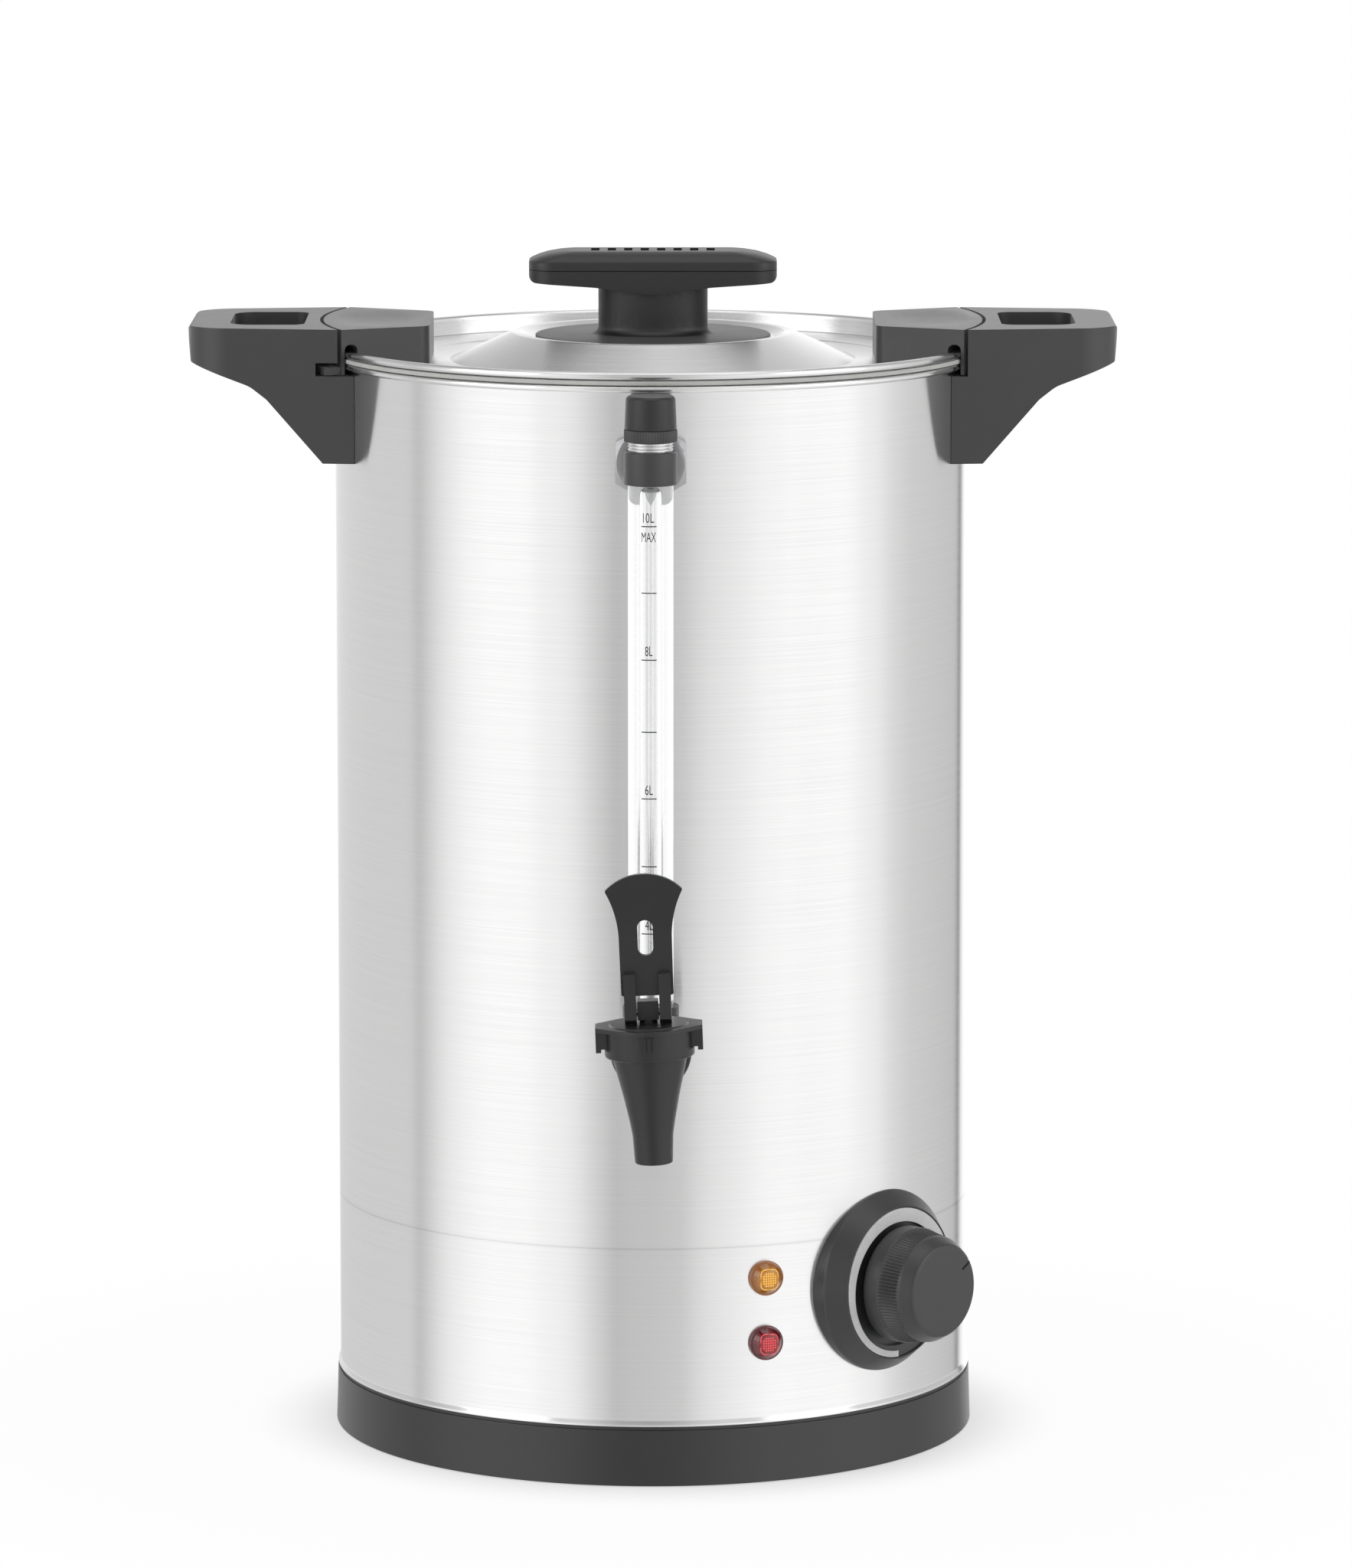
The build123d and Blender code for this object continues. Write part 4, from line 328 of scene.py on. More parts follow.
@dataclass(frozen=True)
class TurnedMetal(Finish):
    """Small machined or plated metal parts."""

    colour: Colour = (0.8, 0.8, 0.8)
    roughness: float = 0.25
    grain: float = 900.0

    def sockets(self, graph: Graph) -> dict[str, Any]:
        """Cloudy gloss with fine tool marks."""
        spot = graph.spot()
        cloud = graph.noise(spot, self.grain, 3.0)
        wear = graph.noise(spot, 60.0, 2.0)
        return {
            "Base Color": graph.tint(wear, shade(self.colour, 0.86), self.colour),
            "Metallic": 1.0,
            "Roughness": cloud * 0.14 + (self.roughness - 0.07),
            "Normal": graph.bump(cloud, 0.000008),
        }


@dataclass(frozen=True)
class MouldedPlastic(Finish):
    """Moulded plastic with a spark-eroded grain."""

    colour: Colour = (0.018, 0.018, 0.019)
    roughness: float = 0.46
    grain: float = 1500.0
    depth: float = 0.00002
    bloom: float = 0.12
    shine: float = 0.75

    def sockets(self, graph: Graph) -> dict[str, Any]:
        """Grain in height and gloss, and a faint mottling of the colour."""
        spot = graph.spot()
        grain = graph.noise(spot, self.grain, 2.0, 0.6)
        mottle = graph.noise(spot, 90.0, 4.0)
        dim, worn = shade(self.colour, 0.75), shade(self.colour, 1.45)
        return {
            "Base Color": graph.tint(grain * 0.5 + mottle * 0.5, dim, worn),
            "Roughness": grain * 0.16 + mottle * 0.06 + (self.roughness - 0.11),
            "Specular IOR Level": self.shine,
            "Sheen Weight": self.bloom,
            "Sheen Roughness": 0.35,
            "Normal": graph.bump(grain, self.depth),
        }


@dataclass(frozen=True)
class SoftRubber(Finish):
    """Silicone or rubber: matt, slightly cloudy."""

    colour: Colour = (0.62, 0.62, 0.6)
    roughness: float = 0.55

    def sockets(self, graph: Graph) -> dict[str, Any]:
        """Cloudy colour and a dull skin."""
        spot = graph.spot()
        cloud = graph.noise(spot, 240.0, 3.0)
        return {
            "Base Color": graph.tint(cloud, shade(self.colour, 0.82), self.colour),
            "Roughness": cloud * 0.2 + (self.roughness - 0.1),
            "Normal": graph.bump(cloud, 0.00002),
        }


@dataclass(frozen=True)
class ClearTube(Finish):
    """Thick clear tube with faint drawing lines, a painted white glow on its outer wall and a bore tinted
    grey as painted shade.
    """

    skin: float = 5.0
    skin_blend: float = 0.5
    # grey level of the bore's tint: painted shade
    bore_painted_shade: float = 0.845
    # strength of the painted white glow on the tube's outer wall
    white: float = 0.06

    def sockets(self, graph: Graph) -> dict[str, Any]:
        """Clear outer wall with a faint painted white glow, and a bore tinted grey as painted shade, which
        takes some light away.
        """
        x, y, z = graph.parts(graph.spot())
        away = graph.distance(x - GAUGE_X * MM, y - GAUGE_Y * MM)
        # outer is 1 on the outer wall, which gets a clear tint and painted white glow, and 0 in the bore,
        # which gets a grey tint as painted shade
        outer = graph.step(away, (self.skin - self.skin_blend) * MM, self.skin * MM)
        drawn = graph.noise(graph.join(x * 900.0, y * 900.0, z * 12.0), 1.0)
        level = outer * 0.94 + drawn * 0.06
        return {
            "Base Color": graph.tint(level, (self.bore_painted_shade,) * 3, (0.98, 0.985, 0.985)),
            "Roughness": drawn * 0.02 + 0.005,
            "Transmission Weight": 1.0,
            "IOR": 1.47,
            # painted glow: the outer wall gives off white light though no lamp is in it
            "Emission Color": graph.tint(outer, (0.0,) * 3, (self.white,) * 3),
            "Emission Strength": 1.0,
        }


@dataclass(frozen=True)
class LampLens(Finish):
    """Coloured pilot lamp lens, deeper towards its rim."""

    rim: Colour
    middle: Colour
    centre: tuple[float, float, float]
    reach: float = 6.3
    glow: float = 0.1

    def sockets(self, graph: Graph) -> dict[str, Any]:
        """Colour by the distance from the lens's middle."""
        spot = graph.spot()
        ends = {0: spot, 1: shade(self.centre, MM)}
        away = graph.add("ShaderNodeVectorMath", ends, output="Value", operation="DISTANCE")
        cloud = graph.noise(spot, 500.0, 2.0)
        edge = graph.step(away + cloud * 0.0008, self.reach * MM * 0.35, self.reach * MM)
        paint = graph.tint(edge, self.middle, self.rim)
        return {
            "Base Color": paint,
            "Roughness": cloud * 0.1 + 0.08,
            "Coat Weight": 0.6,
            "Subsurface Weight": 0.15,
            "Subsurface Scale": 0.002,
            "Emission Color": paint,
            "Emission Strength": self.glow,
        }


@dataclass(frozen=True)
class PrintInk(Finish):
    """Printed ink, a little uneven."""

    colour: Colour = (0.012, 0.012, 0.012)

    def sockets(self, graph: Graph) -> dict[str, Any]:
        """Uneven ink film."""
        spot = graph.spot()
        film = graph.noise(spot, 2500.0, 2.0)
        paint = graph.tint(film, self.colour, shade(self.colour, 2.2))
        return {"Base Color": paint, "Roughness": film * 0.2 + 0.4}


SHEET_STEEL = BrushedSteel("brushed_sheet_steel", "steel", weld_z=86.0)
SPUN_STEEL = BrushedSteel("spun_lid_steel", "steel", tone=0.82, roughness=0.26)
BLACK_PLASTIC = MouldedPlastic(
    "black_grained_plastic", "black_plastic", (0.024, 0.024, 0.025), roughness=0.4, bloom=0.22
)
RING_PLASTIC = MouldedPlastic(
    "base_ring_plastic", "black_plastic", (0.006,) * 3, roughness=0.32, bloom=0.0, shine=0.8
)
KNOB_PLASTIC = MouldedPlastic("lid_knob_plastic", "black_plastic", (0.011,) * 3, roughness=0.42, shine=0.6)
TAP_PLASTIC = MouldedPlastic(
    "tap_plastic", "dark_plastic", (0.008, 0.008, 0.009), 0.36, depth=0.000012, bloom=0.06, shine=0.62
)
INK = PrintInk("level_ink", "dark_plastic")
PLATED = TurnedMetal("plated_fitting", "polished", (0.82, 0.82, 0.82), roughness=0.2)
NUT_METAL = TurnedMetal("dull_nut_metal", "polished", (0.45, 0.45, 0.46), roughness=0.42)
GLASS = ClearTube("clear_gauge_tube", "clear_tube")
SCREW_STEEL = TurnedMetal("zinc_screw_steel", "screw_steel", (0.6, 0.6, 0.6), roughness=0.34)

PLAIN_FINISHES: dict[str, Finish] = {
    finish.slot: finish
    for finish in (
        SHEET_STEEL, PLATED, BLACK_PLASTIC, TAP_PLASTIC, GLASS, SCREW_STEEL,
        TurnedMetal("cast_aluminium", "aluminium", (0.77, 0.77, 0.78), roughness=0.4, grain=500.0),
        MouldedPlastic("silver_ring_plastic", "silver_plastic", (0.66, 0.66, 0.66), 0.42, depth=0.00001),
        SoftRubber("white_silicone", "silicone"),
        SoftRubber("foot_rubber", "foot_rubber", (0.03, 0.03, 0.03), roughness=0.7),
        TurnedMetal("plain_brass", "brass", (0.72, 0.56, 0.28), roughness=0.3),
        SoftRubber("wire_sleeve", "wire_blue", (0.2, 0.2, 0.22), roughness=0.5),
    )
}


# ---- Frames, outlines and meshes ----


FINE_TURN = 288
PLAIN_TURN = 96
TANK_AXIS = Matrix.Identity(4)
GAUGE_AXIS = Matrix.Translation((GAUGE_X, GAUGE_Y, 0.0))


def put(name: str, data: bpy.types.ID) -> bpy.types.Object:
    """New object in the scene."""
    made = bpy.data.objects.new(name, data)
    bpy.context.scene.collection.objects.link(made)
    return made


def outward(azimuth: float, height: float, shift: float = 0.0) -> Matrix:
    """Frame on the tank's axis whose z points outward.

    Args:
        azimuth: Degrees from the front, towards the right.
        height: Its height.
        shift: How far it moves to that side's right.

    Returns:
        The frame; its x points to that side's right and its y up.
    """
    turn = radians(azimuth)
    right = Vector((cos(turn), sin(turn), 0.0))
    up = Vector((0.0, 0.0, 1.0))
    out = Vector((sin(turn), -cos(turn), 0.0))
    frame = Matrix((right, up, out)).transposed().to_4x4()
    frame.translation = right * shift + up * height
    return frame


def rounded(corners: Sequence[Corner], steps: int = 5) -> list[Point]:
    """Closed outline with an arc at each corner that names a radius.

    Args:
        corners: (across, up) or (across, up, radius) in order.
        steps: Runs in each arc.

    Returns:
        The outline's points.
    """
    points: list[Point] = []
    for index, corner in enumerate(corners):
        here = Vector(corner[:2])
        if len(corner) < 3:
            points.append(tuple(here))
            continue
        back = (Vector(corners[index - 1][:2]) - here).normalized()
        ahead = (Vector(corners[(index + 1) % len(corners)][:2]) - here).normalized()
        half = back.angle(ahead) / 2
        centre = here + (back + ahead).normalized() * (corner[2] / sin(half))
        start = here + back * (corner[2] / tan(half)) - centre
        end = here + ahead * (corner[2] / tan(half)) - centre
        whole = start.angle(end)
        for number in range(steps + 1):
            share = number / steps
            arm = (start * sin((1 - share) * whole) + end * sin(share * whole)) / sin(whole)
            points.append(tuple(centre + arm))
    return points


def rounded_box(half_w: float, half_h: float, radius: float, runs: int) -> list[Point]:
    """Rectangle about the middle with an arc of some runs at each corner."""
    points = []
    for right, up, first in ((1, 1, 0), (-1, 1, 90), (-1, -1, 180), (1, -1, 270)):
        for number in range(runs + 1):
            angle = radians(first + number * 90 / runs)
            across = right * (half_w - radius) + radius * cos(angle)
            points.append((across, up * (half_h - radius) + radius * sin(angle)))
    return points


def ring_of_faces(shape: Shape, loop: Sequence[Any], following: Sequence[Any]) -> None:
    """Join two closed loops of corners by a band of faces; a loop may be one corner, repeated."""
    for number in range(len(loop)):
        ahead = (number + 1) % len(loop)
        corners = dict.fromkeys((loop[number], loop[ahead], following[ahead], following[number]))
        if len(corners) > 2:
            shape.faces.new(tuple(corners))


def finished_mesh(name: str, shape: Shape, crease: float = 32.0) -> Mesh:
    """Turn a bmesh into a smooth-shaded mesh with creases where it bends sharply."""
    bmesh.ops.recalc_face_normals(shape, faces=shape.faces)
    mesh = bpy.data.meshes.new(name)
    shape.to_mesh(mesh)
    shape.free()
    mesh.shade_smooth()
    mesh.set_sharp_from_angle(angle=radians(crease))
    return mesh


def lathe(
    name: str,
    frame: Matrix,
    points: Sequence[Point],
    segments: int,
    press: Callable[[float, float, float], Point] | None = None,
) -> Mesh:
    """Turn a closed (radius, height) outline about a frame's z axis.

    Args:
        name: The mesh's name.
        frame: The frame, in millimetres.
        points: The outline.
        segments: Faces round the axis.
        press: Change of radius and height at an angle, a radius and a height.

    Returns:
        The mesh, in metres.
    """
    shape = bmesh.new()
    rings: list[list[bmesh.types.BMVert]] = []
    for radius, height in points:
        count = segments if radius > 1e-6 else 1
        ring = []
        for number in range(count):
            angle = 2 * pi * number / count
            out, up = press(angle, radius, height) if press and radius > 1e-6 else (0.0, 0.0)
            spot = frame @ Vector(((radius + out) * cos(angle), (radius + out) * sin(angle), height + up))
            ring.append(shape.verts.new(spot * MM))
        rings.append(ring * (segments // count))
    for ring, following in zip(rings, rings[1:] + rings[:1]):
        ring_of_faces(shape, ring, following)
    return finished_mesh(name, shape)


@dataclass
class Bench:
    """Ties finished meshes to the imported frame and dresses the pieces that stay."""

    frame: dict[str, Any]
    made: list[str] = field(default_factory=list)

    def place(
        self,
        name: str,
        mesh: Mesh,
        finish: Finish,
        replaces: Sequence[str] = (),
        body: Body = Body.URN,
    ) -> bpy.types.Object:
        """Put a piece into the scene.

        Args:
            name: Its name.
            mesh: Its mesh, in metres.
            finish: Its finish.
            replaces: Nodes that it stands for.
            body: The body that it rides on.

        Returns:
            The piece.
        """
        piece = put(name, mesh)
        mesh.materials.clear()
        mesh.materials.append(finish.material())
        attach(piece, body.value)
        if replaces:
            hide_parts(*replaces)
        self.made.append(name)
        LOG.info("%s rides on %s", name, body.value)
        return piece

    def soften(self, node: str, finish: Finish, width: float, body: Body = Body.URN) -> None:
        """Stand a copy with rounded edges in for a node.

        Args:
            node: The node.
            finish: The finish.
            width: Size of the rounding.
            body: The body that it rides on.
        """
        shape = bmesh.new()
        shape.from_mesh(self.frame["nodes"][node].data)
        bmesh.ops.remove_doubles(shape, verts=shape.verts, dist=2e-6)
        bmesh.ops.dissolve_limit(shape, angle_limit=radians(1.0), verts=shape.verts, edges=shape.edges)
        name = node + "_moulding"
        piece = self.place(name, finished_mesh(name, shape), finish, (node,), body)
        bevel = piece.modifiers.new("edge_radius", "BEVEL")
        bevel.width = width * MM
        bevel.segments = 3
        bevel.limit_method = "ANGLE"
        bevel.angle_limit = radians(35)
        bevel.harden_normals = True
        bevel.use_clamp_overlap = True

    def dress_rest(self) -> None:
        """Give every node the finish of its slot; the base ring has its own."""
        for row in self.frame["record"]["subparts"]:
            node = self.frame["nodes"][row["node"]]
            finish = RING_PLASTIC if row["node"] == "base_ring" else PLAIN_FINISHES.get(row["material_slot"])
            if finish is not None:
                node.data.materials.clear()
                node.data.materials.append(finish.material())


# ---- Sub-assemblies ----


@dataclass
class Tank:
    """Steel tank with its rolled rim, and the skirt below it with its flared foot."""

    radius: float = TANK_R
    wall: float = 0.6
    foot_z: float = 8.0
    weld_z: float = 86.0
    weld_gap: float = 0.04
    rim_z: float = 390.5
    rim_height: float = 2.2
    rim_out: float = 2.4
    bead_z: float = 21.7
    bead_height: float = 2.2
    bead_out: float = 0.85

    def build(self, bench: Bench) -> None:
        """Make the tank's wall and the skirt, each as one turned sheet."""
        inner, outer = self.radius - self.wall, self.radius
        rim, foot, top = outer + self.rim_out, self.weld_z + self.weld_gap, self.rim_z + self.rim_height
        wall = [
            (inner, foot),
            (outer, foot),
            (outer, self.rim_z, 0.3),
            (rim, self.rim_z, 1.0),
            (rim, top, 1.0),
            (inner, top, 0.8),
        ]
        mesh = lathe("shell", TANK_AXIS, rounded(wall), FINE_TURN)
        bench.place("tank_shell", mesh, SHEET_STEEL, ("tank_wall",))
        flare = outer + self.bead_out
        skirt = [
            (inner, self.foot_z),
            (outer, self.foot_z),
            (outer, self.bead_z),
            (flare, self.bead_z, 0.3),
            (flare, self.bead_z + self.bead_height / 3, 1.0),
            (outer, self.bead_z + self.bead_height, 1.5),
            (outer, self.weld_z),
            (inner, self.weld_z),
        ]
        mesh = lathe("skirt", TANK_AXIS, rounded(skirt), FINE_TURN)
        bench.place("tank_skirt", mesh, SHEET_STEEL, ("body_skirt",))


@dataclass
class Lid:
    """Pressed steel lid with its rolled edge, and its ears."""

    annulus_z: float = 390.8
    wall: float = 0.6
    plug_radius: float = 113.95
    edge_z: float = 394.9
    edge_height: float = 2.6
    edge_radius: float = 117.6
    edge_width: float = 3.3
    seat_radius: float = 44.0
    seat_z: float = 398.9
    crest_radius: float = 49.3
    crest_z: float = 400.7
    cone_foot: float = 73.3
    swage_radius: float = 91.0
    swage_width: float = 7.7
    swage_drop: float = 0.3

    def face(self, lift: float) -> list[Corner]:
        """Corners of one face of the sheet, from its middle outward."""
        low = self.annulus_z + lift
        dip, swage = low - self.swage_drop, self.swage_radius - self.swage_width
        return [
            (0.0, self.seat_z + lift),
            (self.seat_radius, self.seat_z + lift, 1.5),
            (self.crest_radius - 1.6, self.crest_z + lift, 2.0),
            (self.crest_radius + 1.6, self.crest_z + lift, 3.0),
            (self.cone_foot, low, 2.0),
            (swage, low, 0.4),
            (swage + 0.6, dip, 0.4),
            (self.swage_radius - 0.6, dip, 0.4),
            (self.swage_radius, low, 0.4),
        ]

    def build(self, bench: Bench) -> None:
        """Make the lid sheet with its rolled edge, and round the ears."""
        plug, inner = self.plug_radius, self.plug_radius - self.wall
        rim, foot = self.edge_radius, self.edge_radius - self.edge_width
        edge, top = self.edge_z, self.edge_z + self.edge_height
        outline = [
            *self.face(-self.wall),
            (plug, self.annulus_z - self.wall, 1.0),
            (plug, edge),
            (foot, edge),
            (rim, edge, 1.1),
            (rim, top, 1.2),
            (foot, top, 1.2),
            (foot, edge + self.wall),
            (inner, edge + self.wall),
            (inner, self.annulus_z, 0.5),
            *reversed(self.face(0.0)),
        ]
        mesh = lathe("lid_sheet", TANK_AXIS, rounded(outline), FINE_TURN)
        bench.place("lid_pressing", mesh, SPUN_STEEL, ("lid_disc",), Body.LID)
        for side in ("left", "right"):
            bench.soften(f"lid_ear_{side}", BLACK_PLASTIC, 0.7, Body.LID)


@dataclass
class Knob:
    """Lid knob: a base with its stem, and a crowned cap with a row of slots."""

    half_w: float = 44.7
    half_d: float = 15.0
    corner: float = 9.0
    seam_z: float = 423.5
    end_stretch: float = 2.1
    profile: tuple[Point, ...] = (
        (0.35, 0.0), (0.0, 0.3), (0.0, 2.85), (0.1, 3.2), (0.45, 3.65),
        (1.6, 4.75), (3.2, 5.8), (5.0, 6.5), (6.2, 6.77), (7.0, 6.83),
    )
    corner_shrink: float = 0.7
    corner_runs: int = 12
    slots: int = 8
    slot_pitch: float = 5.95
    slot_half_w: float = 1.5
    slot_half_d: float = 5.0
    slot_depth: float = 2.5

    def plan(self, inset: float) -> list[Point]:
        """Rounded outline of the cap, drawn in by an inset that counts more at its ends."""
        half_w = self.half_w - inset * self.end_stretch
        half_d = self.half_d - inset
        return rounded_box(half_w, half_d, self.corner - inset * self.corner_shrink, self.corner_runs)

    def cap(self) -> Mesh:
        """Crowned cap, closed below, with square pockets in its flat top."""
        shape = bmesh.new()
        loops = []
        for inset, rise in self.profile:
            spots = [(x * MM, y * MM, (self.seam_z + rise) * MM) for x, y in self.plan(inset)]
            loops.append([shape.verts.new(spot) for spot in spots])
        for loop, following in zip(loops, loops[1:]):
            ring_of_faces(shape, loop, following)
        shape.faces.new(reversed(loops[0]))
        top_z = (self.seam_z + self.profile[-1][1]) * MM
        brim = [shape.edges.get((a, b)) for a, b in zip(loops[-1], loops[-1][1:] + loops[-1][:1])]
        for slot in range(self.slots):
            middle = (slot - (self.slots - 1) / 2) * self.slot_pitch
            corners = [
                (middle + right * self.slot_half_w, back * self.slot_half_d)
                for right, back in ((1, 1), (-1, 1), (-1, -1), (1, -1))
            ]
            upper = [shape.verts.new((x * MM, y * MM, top_z)) for x, y in corners]
            lower = [shape.verts.new((x * MM, y * MM, top_z - self.slot_depth * MM)) for x, y in corners]
            for number in range(4):
                ahead = (number + 1) % 4
                shape.faces.new((upper[number], lower[number], lower[ahead], upper[ahead]))
                brim.append(shape.edges.get((upper[number], upper[ahead])))
            shape.faces.new(lower)
        bmesh.ops.triangle_fill(shape, use_beauty=True, edges=brim, normal=(0.0, 0.0, 1.0))
        return finished_mesh("cap", shape)

    def build(self, bench: Bench) -> None:
        """Round the base's edges and make the cap."""
        bench.soften("knob_base", KNOB_PLASTIC, 0.35, Body.LID)
        bench.place("knob_crown", self.cap(), KNOB_PLASTIC, ("knob_cap",), Body.LID)


@dataclass
class Handles:
    """Side handles."""

    def build(self, bench: Bench) -> None:
        """Round the edges of both mouldings."""
        for side in ("left", "right"):
            bench.soften(f"handle_{side}", BLACK_PLASTIC, 1.2)


@dataclass
class Gauge:
    """Sight tube with its level marks, its threaded collar and the ridged lock ring."""

    radius: float = 7.95
    bore: float = 2.6
    vent: float = 0.8
    bottom_z: float = 171.2
    dome_z: float = 356.9
    top_z: float = 367.8
    levels: tuple[float, ...] = (346.1, 322.8, 299.4, 274.1, 250.6, 226.7, 202.9)
    mark_from: float = -3.3
    mark_to: float = 2.1
    mark_height: float = 0.38
    mark_runs: int = 8
    digit_gap: float = 1.4
    digit_height: float = 3.4
    thread_z: float = 371.75
    thread_pitch: float = 1.1
    thread_crest: float = 7.9
    thread_root: float = 7.35
    threads: int = 3
    collar_bore: float = 2.5
    collar_foot: float = 369.2
    collar_top: float = 381.7
    ring_z: float = 375.0
    ring_height: float = 4.15
    ring_radius: float = 9.3
    ring_ridges: int = 60
    film_low: float = 0.01
    film_high: float = 0.05

    def tube(self) -> Mesh:
        """Thick tube whose bore ends in a dome with a vent."""
        lift = asin(self.vent / self.bore)
        arcs = [pi / 2 - lift - (pi / 2 - lift) * number / 8 for number in range(9)]
        dome = [(self.bore * cos(angle), self.dome_z + self.bore * sin(angle)) for angle in arcs]
        outline = [
            (self.radius, self.bottom_z),
            (self.radius, self.top_z),
            (self.vent, self.top_z),
            *dome,
            (self.bore, self.bottom_z),
        ]
        return lathe("tube", GAUGE_AXIS, outline, PLAIN_TURN)

    def ridge(self, angle: float, radius: float, height: float) -> Point:
        """Fine ridges round the lock ring's outer face."""
        if radius < self.ring_radius - 0.3:
            return 0.0, 0.0
        return -0.22 * (0.5 - 0.5 * cos(self.ring_ridges * angle)), 0.0

    def wrap(self, shape: Shape) -> None:
        """Bend flat artwork, drawn as (across, height, depth), round the tube's front."""
        for vert in shape.verts:
            across, height, depth = vert.co
            angle = across / self.radius
            reach = self.radius + depth
            vert.co = Vector((GAUGE_X + reach * sin(angle), GAUGE_Y - reach * cos(angle), height)) * MM

    def bar(self, height: float) -> Shape:
        """One level mark as a thin block, cut into short runs so that it bends."""
        shape = bmesh.new()
        half = self.mark_height / 2
        low, high = self.film_low, self.film_high
        corners = [(-half, low), (half, low), (half, high), (-half, high)]
        loops = []
        for number in range(self.mark_runs + 1):
            across = self.mark_from + (self.mark_to - self.mark_from) * number / self.mark_runs
            loops.append([shape.verts.new((across, height + up, depth)) for up, depth in corners])
        for loop, following in zip(loops, loops[1:]):
            ring_of_faces(shape, loop, following)
        shape.faces.new(loops[0])
        shape.faces.new(reversed(loops[-1]))
        return shape

    def letters(self, text: str, left: float, foot: float, width: float, height: float) -> Shape:
        """Lettering that fills a given box of the flat artwork."""
        curve = bpy.data.curves.new("lettering", "FONT")
        curve.body = text
        curve.extrude = 0.02
        writer = put("lettering", curve)
        ready = writer.evaluated_get(bpy.context.evaluated_depsgraph_get())
        flat = bpy.data.meshes.new_from_object(ready)
        shape = bmesh.new()
        shape.from_mesh(flat)
        bpy.data.objects.remove(writer)
        bpy.data.curves.remove(curve)
        bpy.data.meshes.remove(flat)
        bmesh.ops.remove_doubles(shape, verts=shape.verts, dist=1e-4)
        xs = [vert.co.x for vert in shape.verts]
        ys = [vert.co.y for vert in shape.verts]
        for vert in shape.verts:
            across = left + (vert.co.x - min(xs)) / (max(xs) - min(xs)) * width
            up = foot + (vert.co.y - min(ys)) / (max(ys) - min(ys)) * height
            vert.co = (across, up, self.film_high if vert.co.z > 0 else self.film_low)
        return shape

    def printing(self, bench: Bench) -> None:
        """Print the level marks and their labels on the tube."""
        top, second, third, fourth = self.levels[::2]
        gap, tall = self.digit_gap, self.digit_height
        labels = [
            ("10L", "10", -2.7, top + 1.3, 3.9, tall),
            ("MAX", "max", -3.2, top - 5.4, 5.1, tall),
            ("8L", "8", -1.95, second + gap, 2.6, tall),
            ("6L", "6", -1.95, third + gap, 2.7, tall),
            ("4L", "4", -1.95, fourth + gap, 2.7, tall),
        ]
        prints = [(f"level_mark_{number + 1}", self.bar(level)) for number, level in enumerate(self.levels)]
        prints += [(f"level_label_{tag}", self.letters(text, *box)) for text, tag, *box in labels]
        for name, shape in prints:
            self.wrap(shape)
            bench.place(name, finished_mesh(name, shape), INK)

    def collar(self) -> Mesh:
        """Collar with a plain foot, a few threads and a plain top."""
        crest, root = self.thread_crest, self.thread_root
        bore, foot = self.collar_bore, self.collar_foot
        outline = [(bore, foot), (crest, foot), (crest, self.thread_z - 0.05)]
        for turn in range(self.threads):
            low = self.thread_z + turn * self.thread_pitch
            outline += [(root, low), (crest, low + 0.35), (crest, low + 0.7), (root, low + 1.05)]
        top = self.thread_z + self.threads * self.thread_pitch + 0.05
        outline += [(crest, top), (crest, self.collar_top), (bore, self.collar_top)]
        return lathe("collar", GAUGE_AXIS, outline, PLAIN_TURN)

    def lock_ring(self) -> Mesh:
        """Finely ridged ring under the cap."""
        inner, outer = self.radius + 0.1, self.ring_radius
        foot, top = self.ring_z, self.ring_z + self.ring_height
        outline = rounded([(inner, foot), (outer, foot, 0.25), (outer, top, 0.25), (inner, top)])
        return lathe("lock_ring", GAUGE_AXIS, outline, self.ring_ridges * 8, self.ridge)

    def build(self, bench: Bench) -> None:
        """Make the tube with its printing, the collar and the lock ring, and round the rest."""
        bench.place("gauge_tube", self.tube(), GLASS, ("sight_tube",))
        self.printing(bench)
        bench.place("gauge_threaded_collar", self.collar(), PLATED, ("gauge_collar",))
        bench.place("gauge_ridged_ring", self.lock_ring(), BLACK_PLASTIC, ("gauge_lock_ring",))
        bench.soften("gauge_holder", BLACK_PLASTIC, 0.4)
        bench.soften("gauge_cap", KNOB_PLASTIC, 0.3)
        bench.soften("gauge_hex_nut", NUT_METAL, 0.35)


